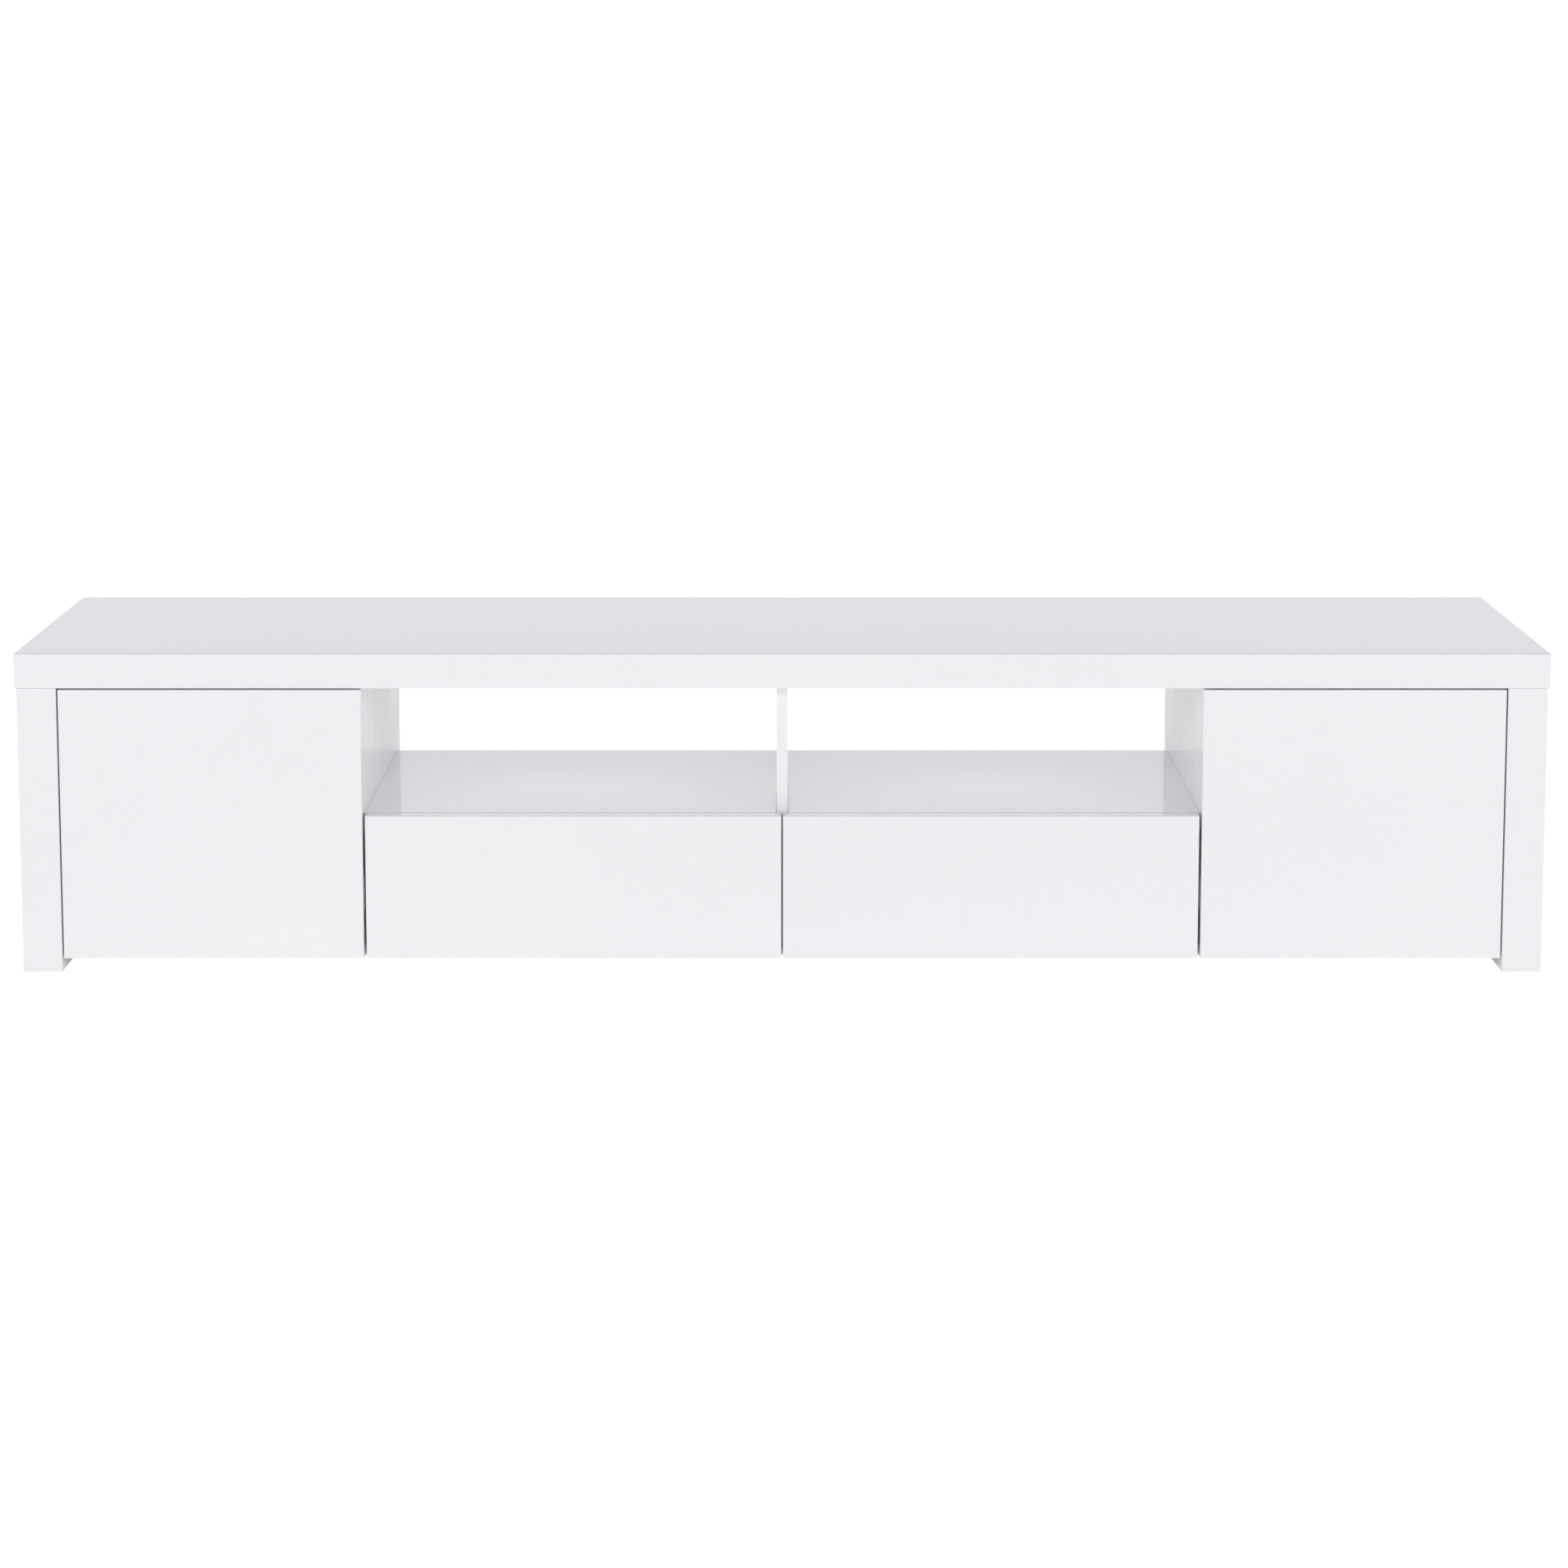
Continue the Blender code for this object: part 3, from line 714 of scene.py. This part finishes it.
def cupShapes(settings):
    # a profile turned about Y, which leaves the door's back face, and a tab at each side
    shapes = [turned(np.array(settings["profile"]) * mm, settings["sides"])]
    for way in (-1.0, 1.0):
        tab = stadiumPlate(**settings["tab"])
        shapes.append(moved(tab, (0, way * settings["tabOut"], settings["tabUp"])))
    return [moved(shape, axes=alongY) for shape in shapes]


def linkShapes(settings):
    # the strip leaves the eye along X and turns through a quarter circle to run along Y:
    # (reach - b + b sin a, b - b cos a)
    bend, reach = settings["bend"], settings["reach"]
    quarter = np.linspace(0.0, math.pi / 2, settings["bendPoints"])
    curve = np.stack([reach - bend + bend * np.sin(quarter), bend - bend * np.cos(quarter)], 1)
    path = np.concatenate([[[settings["start"], 0.0]], curve, [[reach, settings["end"]]]])
    turn = np.concatenate([[0.0], quarter, [math.pi / 2]])
    normals = np.stack([np.sin(turn), -np.cos(turn)], 1)
    strip = sweptStrip(path, normals, **settings["strip"])
    return [strip, turned(np.array(settings["eye"]) * mm)]


def armShapes(settings):
    # a U section carried along Y, its open edge lifting towards the nose as a half cosine:
    # tail + (nose - tail) (1 + cos(pi t)) / 2
    along = np.linspace(*settings["along"], settings["sections"])
    share = np.clip((along - along[0]) / settings["lift"], 0.0, 1.0)
    nose, tail = settings["lip"]
    lip = tail + (nose - tail) * 0.5 * (1.0 + np.cos(math.pi * share))
    web, half, thick = settings["web"], settings["half"], settings["thick"]
    bend = settings["bend"]
    small = bend - thick
    quarter = np.linspace(0.0, math.pi / 2, settings["bendPoints"])
    outerX = web - bend + bend * np.sin(quarter)
    outerZ = half - bend + bend * np.cos(quarter)
    innerX = web - bend + small * np.sin(quarter)
    innerZ = half - bend + small * np.cos(quarter)
    lips = [0.0]  # a place held for the open edge
    x = np.concatenate([lips, outerX, outerX[::-1], lips, lips, innerX, innerX[::-1], lips])
    outside = [[half], outerZ, -outerZ[::-1], [-half]]
    inside = [[-half + thick], -innerZ, innerZ[::-1], [half - thick]]
    rings = np.empty((len(along), len(x), 3))
    rings[..., 0] = np.where(x[None, :] == 0.0, lip[:, None], x[None, :])
    rings[..., 1] = along[:, None]
    rings[..., 2] = np.concatenate([*outside, *inside])[None, :]
    shapes = [loft(rings)]
    for low, high, edge in (settings["spine"], settings["plate"]):
        shapes.append(roundedBox(np.array(low) * mm, np.array(high) * mm, edge * mm))
    shapes.append(moved(stadiumPlate(**settings["wings"]), settings["wingsPlace"], alongX))
    return shapes


def mirroredShapes(shapes, side, offset):
    # drawn for the left side, where X leads into the stand
    return [moved(shape, offset, None, (-side, 1, 1)) for shape in shapes]


def cutHoles(piece, places, settings):
    # blind round holes from the back face, cut with a hidden tool that is then removed
    radius, depth = settings["radius"], settings["depth"]
    height = depth + settings["over"]
    hole = turned([(0, 0), (radius, 0), (radius, height), (0, height)], settings["sides"])
    for place in places:
        mesh = bpy.data.meshes.new("hole_tool")
        fillMesh(mesh, *moved(hole, np.array(place) - np.array((0, depth, 0)), alongY))
        cutter = bpy.data.objects.new("hole_tool", mesh)
        bpy.context.scene.collection.objects.link(cutter)
        change = piece.modifiers.new("hole", "BOOLEAN")
        change.object = cutter
        change.operation = "DIFFERENCE"
        change.solver = "EXACT"
        piece.modifiers.move(len(piece.modifiers) - 1, 0)
        bpy.context.view_layer.objects.active = piece
        bpy.ops.object.modifier_apply(modifier=change.name)
        bpy.data.objects.remove(cutter, do_unlink=True)
    smoothMesh(piece.data)


def makeDoorsAndHinges(settings, finishes):
    gloss, nickel, zinc = finishes["lacquer"], finishes["nickel"], finishes["zinc"]
    screw, pin, steel = settings["cupScrew"], settings["pin"], finishes["screw"]
    pinShape = domedRod(pin["radius"], -pin["half"], pin["half"], pin["edge"])
    screwHead = crossHead(screw["radius"], screw["height"])
    for name, side in sides.items():
        node = f"{name}_door"
        low, high = corners(node)
        cornerX = low[0] if side < 0 else high[0]
        front, back = low[1], high[1]
        leaf = roundedBox(low, high, panelSettings["lacquerEdge"])
        door = makePiece(node + "_leaf", [leaf], gloss, node, [node])
        cupX = cornerX - side * settings["cupFromEdge"]
        pinX = cornerX - side * settings["pinFromEdge"]
        pinY = front + settings["pinFromFront"]
        wallX = cornerX + side * settings["wallGap"]
        inwards = alongX if side < 0 else alongMinusX
        holes, cupScrews, armScrews = [], [], []
        for level in settings["levels"]:
            hinge = f"{name}_{level}_hinge"
            cupLow, cupHigh = corners(hinge + "_cup")
            height = float(cupLow[2] + cupHigh[2]) / 2
            holes.append((cupX, back, height))
            cup = mirroredShapes(cupShapes(cupSettings), side, (cupX, back, height))
            cup.append(moved(pinShape, (pinX, pinY, height)))
            link = mirroredShapes(linkShapes(linkSettings), side, (pinX, pinY, height))
            arm = mirroredShapes(armShapes(armSettings), side, (wallX, front, height))
            pieces = {
                "cup": ("pressed", cup, nickel, node, "nickel_steel"),
                "link": ("strip", link, nickel, f"{name}_hinge_links", "nickel_steel"),
                "arm": ("pressed", arm, zinc, "cabinet", "zinc_steel"),
            }
            for part, (making, shapes, material, body, slotName) in pieces.items():
                stands = f"{hinge}_{part}"
                makePiece(f"{stands}_{making}", shapes, material, body, [stands])
            for way in (-1.0, 1.0):
                place = (cupX, back + screw["out"], height + way * screw["apart"])
                cupScrews.append(moved(screwHead, place, alongY))
            for depth, rise, out, radius in settings["armScrews"]:
                head = crossHead(radius * mm, settings["armScrewHeight"])
                place = (wallX - side * out * mm, front + depth * mm, height + rise * mm)
                armScrews.append(moved(head, place, inwards))
        cutHoles(door, holes, settings["hole"])
        makePiece(f"{name}_hinge_cup_screws", cupScrews, steel, node)
        makePiece(f"{name}_hinge_arm_screws", armScrews, steel, "cabinet")
    print("doors and hinges made")


# drawer slides, with distances across measured from the wall that the slide is screwed to
slideSettings = {
    "wallGap": 0.3 * mm,
    "section": {"thick": 1.2 * mm, "bend": 2.0 * mm, "bendPoints": 5},
    "rails": {
        "outer_rail": {"web": 0.3 * mm, "lip": 9.6 * mm, "lower": 0.0},
        "middle_rail": {"web": 3.2 * mm, "lip": 10.4 * mm, "lower": 4.0 * mm},
        "inner_rail": {"web": 12.4 * mm, "lip": 6.2 * mm, "lower": 8.0 * mm},
    },
    "ball": {"radius": 1.3 * mm, "sides": 10, "arcPoints": 7},
    "pitch": 8.0 * mm,
    "count": 12,
    "rows": (
        {"across": 6.9 * mm, "lower": 2.6 * mm, "first": 190 * mm},
        {"across": 8.6 * mm, "lower": 6.6 * mm, "first": 12 * mm},
    ),
    "cage": {"halfWidth": 2.6 * mm, "halfThick": 0.25 * mm, "edge": 0.2 * mm, "steps": 2},
    "lever": {
        "from": 52 * mm,
        "to": 96 * mm,
        "across": (9.9 * mm, 11.1 * mm),
        "half": 4.2 * mm,
        "slim": 0.5,  # the tongue's share of the finger rest's width
        "edge": 0.4 * mm,
        "rest": {"raised": 1.2 * mm, "length": 12 * mm, "edge": 0.8 * mm},
    },
    "screw": {
        "radius": 3.2 * mm,
        "height": 1.2 * mm,
        "depths": (35 * mm, 150 * mm, 265 * mm),
        "cabinetAcross": 1.5 * mm,
        "drawerAcross": 11.2 * mm,
    },
}


def railShape(web, lip, half, section, start, end):
    # a C section whose four bends are quarter circles, carried along Y
    thick, bend = section["thick"], section["bend"]
    way = 1.0 if lip > web else -1.0
    small = bend - thick
    quarter = np.linspace(0.0, math.pi / 2, section["bendPoints"])
    outerX = web + way * (bend - bend * np.cos(quarter))
    outerZ = half - bend + bend * np.sin(quarter)
    innerX = web + way * (bend - small * np.cos(quarter))
    innerZ = half - bend + small * np.sin(quarter)
    lips = [lip, lip]
    x = np.concatenate([outerX, lips, innerX[::-1], innerX, lips, outerX[::-1]])
    upper = [outerZ, [half, half - thick], innerZ[::-1]]
    under = [-innerZ, [-half + thick, -half], -outerZ[::-1]]
    rings = np.empty((2, len(x), 3))
    rings[..., 0] = x[None, :]
    rings[..., 1] = np.array([start, end])[:, None]
    rings[..., 2] = np.concatenate([*upper, *under])[None, :]
    return loft(rings)


def ballRow(across, up, start, settings):
    # balls on one line, each a turned half circle (r cos a, r sin a)
    ball = settings["ball"]
    arc = np.linspace(-math.pi / 2, math.pi / 2, ball["arcPoints"])
    radius = ball["radius"]
    shape = turned(np.stack([radius * np.cos(arc), radius * np.sin(arc)], 1), ball["sides"])
    places = start + settings["pitch"] * np.arange(settings["count"])
    return [moved(shape, (across, place, up)) for place in places]


def cageShape(across, up, start, settings):
    # the thin strip that holds the balls apart, a rounded box
    cage, pitch = settings["cage"], settings["pitch"]
    half, thin = cage["halfWidth"], cage["halfThick"]
    low = (across - half, start - pitch / 2, up - thin)
    high = (across + half, start + pitch * settings["count"], up + thin)
    return roundedBox(low, high, cage["edge"], cage["steps"])


def leverShapes(settings, start):
    # the release lever: a flat tongue with a raised finger rest, both rounded boxes
    (near, far), half, rest = settings["across"], settings["half"], settings["rest"]
    first, last = start + settings["from"], start + settings["to"]
    slim = settings["slim"] * half
    tongue = roundedBox((near, first, -slim), (far, last, slim), settings["edge"])
    low = (near - rest["raised"], first, -half)
    high = (far, first + rest["length"], half)
    return [tongue, roundedBox(low, high, rest["edge"])]


def makeSlides(settings, finishes):
    zinc, steel, screw = finishes["zinc"], finishes["screw"], settings["screw"]
    head = crossHead(screw["radius"], screw["height"])
    for name, side in sides.items():
        drawer, middles = f"{name}_drawer", f"{name}_slide_middles"
        bodies = {"outer_rail": "cabinet", "middle_rail": middles, "inner_rail": drawer}
        cages, balls, levers, screws = [], [], [], {"cabinet": [], drawer: []}
        for place in ("outer", "inner"):
            low, high = corners(f"{name}_{place}_slide_outer_rail")
            level, start, end = (low[2] + high[2]) / 2, low[1], high[1]
            half = (high[2] - low[2]) / 2
            # away is the way from the wall to the drawer
            away = -side if place == "outer" else side
            wall = (low[0] if away > 0 else high[0]) - away * settings["wallGap"]
            offset = (wall, 0, level)
            for kind, rail in settings["rails"].items():
                tall = half - rail["lower"]
                shape = railShape(rail["web"], rail["lip"], tall, settings["section"], start, end)
                shapes = mirroredShapes([shape], -away, offset)
                node = f"{name}_{place}_slide_{kind}"
                makePiece(node + "_rolled", shapes, zinc, bodies[kind], [node])
            for way in (-1.0, 1.0):
                for row in settings["rows"]:
                    spot = (row["across"], way * (half - row["lower"]), start + row["first"])
                    balls += mirroredShapes(ballRow(*spot, settings), -away, offset)
                    cages += mirroredShapes([cageShape(*spot, settings)], -away, offset)
            levers += mirroredShapes(leverShapes(settings["lever"], start), -away, offset)
            outwards, backwards = (alongX, alongMinusX) if away > 0 else (alongMinusX, alongX)
            wallX = wall + away * screw["cabinetAcross"]
            drawerX = wall + away * screw["drawerAcross"]
            for depth in screw["depths"]:
                screws["cabinet"].append(moved(head, (wallX, start + depth, level), outwards))
                screws[drawer].append(moved(head, (drawerX, start + depth, level), backwards))
        makePiece(f"{name}_slide_levers", levers, finishes["tip"], drawer)
        makePiece(f"{name}_slide_balls", balls, steel, middles)
        makePiece(f"{name}_slide_cages", cages, zinc, middles)
        for body, heads in screws.items():
            makePiece(f"{name}_slide_screws_{body}", heads, steel, body)
    print("slides made")


# push latches
latchSettings = {
    # in mm: radius and height, first from the tube's rear end and then from its nose, with
    # a groove near the nose and the bore last
    "rear": ((0.0, 0.0), (4.7, 0.0), (5.7, -0.5), (6.2, -1.5)),
    "nose": (
        (6.2, 9.0),
        (5.6, 8.4),
        (5.6, 7.0),
        (6.2, 6.4),
        (6.2, 1.2),
        (5.8, 0.4),
        (5.0, 0.0),
        (4.5, 0.0),
        (4.2, 0.3),
        (4.2, 52.0),
        (0.0, 52.0),
    ),
    "sides": 40,
    "foot": {"thick": 2.2 * mm, "back": 2.0 * mm, "edge": 0.7 * mm},
    "ribs": {
        "depths": (16 * mm, 28 * mm, 40 * mm),
        "half": 4.8 * mm,
        "thick": 1.4 * mm,
        "edge": 0.4 * mm,
        "steps": 2,
    },
    "screw": {
        "radius": 1.5 * mm,
        "height": 0.7 * mm,
        "apart": 7.4 * mm,
        "depths": (8 * mm, 58 * mm),
    },
    "rod": {"slimmer": 0.2 * mm, "overlap": 1.0 * mm, "edge": 0.5 * mm},
    "tip": {"slimmer": 0.5 * mm, "back": 0.9 * mm, "length": 4.0 * mm, "edge": 1.2 * mm},
    "strike": {"halfWidth": 6 * mm, "halfLength": 10 * mm, "thick": 0.7 * mm, "edge": 0.2 * mm},
}


def latchTube(settings, length):
    # a closed profile turned about Z: out along the tube, round its nose and back down the bore
    rear = np.array(settings["rear"]) * mm + np.array((0.0, length))
    return turned(np.concatenate([rear, np.array(settings["nose"]) * mm]), settings["sides"])


def latchRibs(settings, middle, start):
    # square collars round the tube, each a rounded box
    half, ribs = settings["half"], []
    for depth in settings["depths"]:
        near = start + depth
        low = (middle[0] - half, near, middle[2] - half)
        high = (middle[0] + half, near + settings["thick"], middle[2] + half)
        ribs.append(roundedBox(low, high, settings["edge"], settings["steps"]))
    return ribs


def makePlunger(settings, finishes, node, body):
    # a rod with rounded ends and a wider-rounded rubber tip over its nose; returns its axis
    rod, tip, slotName = settings["rod"], settings["tip"], "plunger_plastic"
    low, high = corners(node)
    radius = (high[0] - low[0]) / 2
    centre = ((low[0] + high[0]) / 2, 0, (low[2] + high[2]) / 2)
    tipStart = low[1] + tip["back"]
    tipEnd = tipStart + tip["length"]
    shaft = domedRod(radius - rod["slimmer"], tipEnd - rod["overlap"], high[1], rod["edge"])
    rubber = domedRod(radius - tip["slimmer"], tipStart, tipEnd, tip["edge"])
    shaft, rubber = moved(shaft, centre, alongY), moved(rubber, centre, alongY)
    makePiece(node + "_rod", [shaft], finishes["plunger"], body, [node])
    makePiece(node + "_tip", [rubber], finishes["tip"], body)
    return centre


def makeLatches(settings, finishes):
    foot, screw = settings["foot"], settings["screw"]
    head = crossHead(screw["radius"], screw["height"])
    strike = moved(stadiumPlate(**settings["strike"]), axes=alongY)
    for name, side in sides.items():
        for front in ("door", "drawer"):
            latch = f"{name}_{front}_latch"
            low, high = corners(latch + "_body")
            middle = (low + high) / 2
            place = (middle[0], low[1], middle[2])
            tube = moved(latchTube(settings, high[1] - low[1]), place, alongY)
            footLow = np.array((low[0], low[1] + foot["back"], low[2]))
            footHigh = np.array(high)
            if front == "door":
                # the foot lies on the partition, towards the middle of the stand
                wall = high[0] if side < 0 else low[0]
                face = wall + side * foot["thick"]
                footLow[0], footHigh[0] = sorted((wall, face))
                way = alongX if side > 0 else alongMinusX
                rows = [(face, middle[2] + sign * screw["apart"]) for sign in (-1, 1)]
            else:
                face = low[2] + foot["thick"]
                footHigh[2] = face
                way = None
                rows = [(middle[0] + sign * screw["apart"], face) for sign in (-1, 1)]
            ribs = latchRibs(settings["ribs"], middle, low[1])
            shapes = [tube, roundedBox(footLow, footHigh, foot["edge"]), *ribs]
            makePiece(
                latch + "_body_moulded",
                shapes,
                finishes["latch"],
                "cabinet",
                [latch + "_body"],
            )
            heads = []
            for x, z in rows:
                for depth in screw["depths"]:
                    heads.append(moved(head, (x, low[1] + depth, z), way))
            makePiece(latch + "_screws", heads, finishes["screw"], "cabinet")
            node, body = latch + "_plunger", f"{name}_{front}_plunger"
            centre = makePlunger(settings, finishes, node, body)
            # a thin strike plate on the front's back face
            back = corners(f"{name}_door" if front == "door" else f"{name}_drawer_front")[1][1]
            plate = moved(strike, (centre[0], back, centre[2]))
            target, nickel = f"{name}_{front}", finishes["nickel"]
            makePiece(target + "_strike_plate", [plate], nickel, target)
    print("latches made")


# small fittings: shelf pins, cam caps and nails
fittingSettings = {
    "pin": {"radius": 2.4 * mm, "length": 8.5 * mm, "edge": 0.6 * mm, "sides": 20},
    "collar": {"wider": 1.2 * mm, "length": 1.6 * mm, "edge": 0.4 * mm},
    "pinInset": 45 * mm,
    "pinBelow": 1.4 * mm,
    "pinSunk": 0.5 * mm,
    "cap": {"radius": 7.5 * mm, "thick": 0.8 * mm, "straight": 0.5, "rim": 0.4 * mm},
    # distances of the caps' centres from the board's front and rear edges, foot and top
    "partitionCaps": {"ends": (62 * mm, 55 * mm), "levels": (26 * mm, 26 * mm)},
    "drawerCaps": {"front": 28 * mm, "levels": (34 * mm, 22 * mm)},
    "nail": {"radius": 1.5 * mm, "rim": 0.2 * mm, "height": 0.4 * mm, "sides": 12},
    "nailInset": 7 * mm,
    "nailColumns": 7,
    "nailRows": 6,
}


def makeShelfPins(settings, finishes, name):
    pin, collar = settings["pin"], settings["collar"]
    wide = pin["radius"] + collar["wider"]
    rod = domedRod(pin["radius"], 0.0, pin["length"], pin["edge"], pin["sides"])
    ring = domedRod(wide, 0.0, collar["length"], collar["edge"], pin["sides"])
    low, high = corners(f"{name}_inner_shelf")
    level = low[2] - pin["radius"] - settings["pinBelow"]
    sunk, inset, pins = settings["pinSunk"], settings["pinInset"], []
    for wall, way in ((low[0] - sunk, alongX), (high[0] + sunk, alongMinusX)):
        for depth in (low[1] + inset, high[1] - inset):
            place = (wall, depth, level)
            pins += [moved(rod, place, way), moved(ring, place, way)]
    makePiece(f"{name}_shelf_pins", pins, finishes["nickel"], "cabinet")


def makeCamCaps(settings, finishes, name, side):
    cap, plastic = settings["cap"], finishes["cap"]
    radius, thick = cap["radius"], cap["thick"]
    rim = [(radius, 0), (radius, cap["straight"] * thick), (radius - cap["rim"], thick)]
    shape = turned([(0, 0), *rim, (0, thick)])
    low, high = corners(f"{name}_partition")
    face, way = (low[0], alongMinusX) if side < 0 else (high[0], alongX)
    spots, caps = settings["partitionCaps"], []
    (near, far), (foot, top) = spots["ends"], spots["levels"]
    for depth in (low[1] + near, high[1] - far):
        for height in (low[2] + foot, high[2] - top):
            caps.append(moved(shape, (face, depth, height), way))
    makePiece(f"{name}_partition_cam_caps", caps, plastic, "cabinet")
    spots, caps = settings["drawerCaps"], []
    front, (foot, top) = spots["front"], spots["levels"]
    for part, away in (("inner_side", side), ("outer_side", -side)):
        low, high = corners(f"{name}_drawer_{part}")
        face, way = (high[0], alongX) if away > 0 else (low[0], alongMinusX)
        for height in (low[2] + foot, high[2] - top):
            caps.append(moved(shape, (face, low[1] + front, height), way))
    makePiece(f"{name}_drawer_cam_caps", caps, plastic, f"{name}_drawer")


def makeBackNails(settings, finishes, name):
    nail, inset = settings["nail"], settings["nailInset"]
    profile = [(0, 0), (nail["radius"], 0), (nail["radius"], nail["rim"]), (0, nail["height"])]
    head = turned(profile, nail["sides"])
    low, high = corners(f"{name}_bay_back")
    xs = np.linspace(low[0] + inset, high[0] - inset, settings["nailColumns"])
    zs = np.linspace(low[2] + inset, high[2] - inset, settings["nailRows"])
    spots = [(x, zs[0]) for x in xs] + [(x, z) for x in (xs[0], xs[-1]) for z in zs[1:]]
    rear = high[1] - panelSettings["rearSink"]
    nails = [moved(head, (x, rear, z), alongY) for x, z in spots]
    makePiece(f"{name}_back_nails", nails, finishes["screw"], "cabinet")


def makeFittings(settings, finishes):
    for name, side in sides.items():
        makeShelfPins(settings, finishes, name)
        makeCamCaps(settings, finishes, name, side)
        makeBackNails(settings, finishes, name)
    print("fittings made")


makeCamera(cameraSettings)
makeLight(lightSettings)
makeFloor(floorSettings)
print("camera, light and floor made")
finishes = {
    "lacquer": sprayedLacquer("gloss_lacquer", lacquerSettings),
    "satin": sprayedLacquer("satin_lacquer", satinSettings),
    "melamine": melamineBoard(melamineSettings),
    "hardboard": hardboardSheet(hardboardSettings),
    "nickel": platedMetal("nickel_plate", metalSettings, "nickel"),
    "zinc": platedMetal("zinc_plate", metalSettings, "zinc"),
    "screw": platedMetal("screw_steel", metalSettings, "screw"),
    "latch": mouldedPlastic("latch_nylon", plasticSettings, "latch"),
    "plunger": mouldedPlastic("plunger_nylon", plasticSettings, "plunger"),
    "tip": mouldedPlastic("rubber_tip", plasticSettings, "tip"),
    "cap": mouldedPlastic("cap_plastic", plasticSettings, "cap"),
}
makePanels(panelSettings, finishes)
makeDrawers(panelSettings, finishes)
makeDoorsAndHinges(hingeSettings, finishes)
makeSlides(slideSettings, finishes)
makeLatches(latchSettings, finishes)
makeFittings(fittingSettings, finishes)
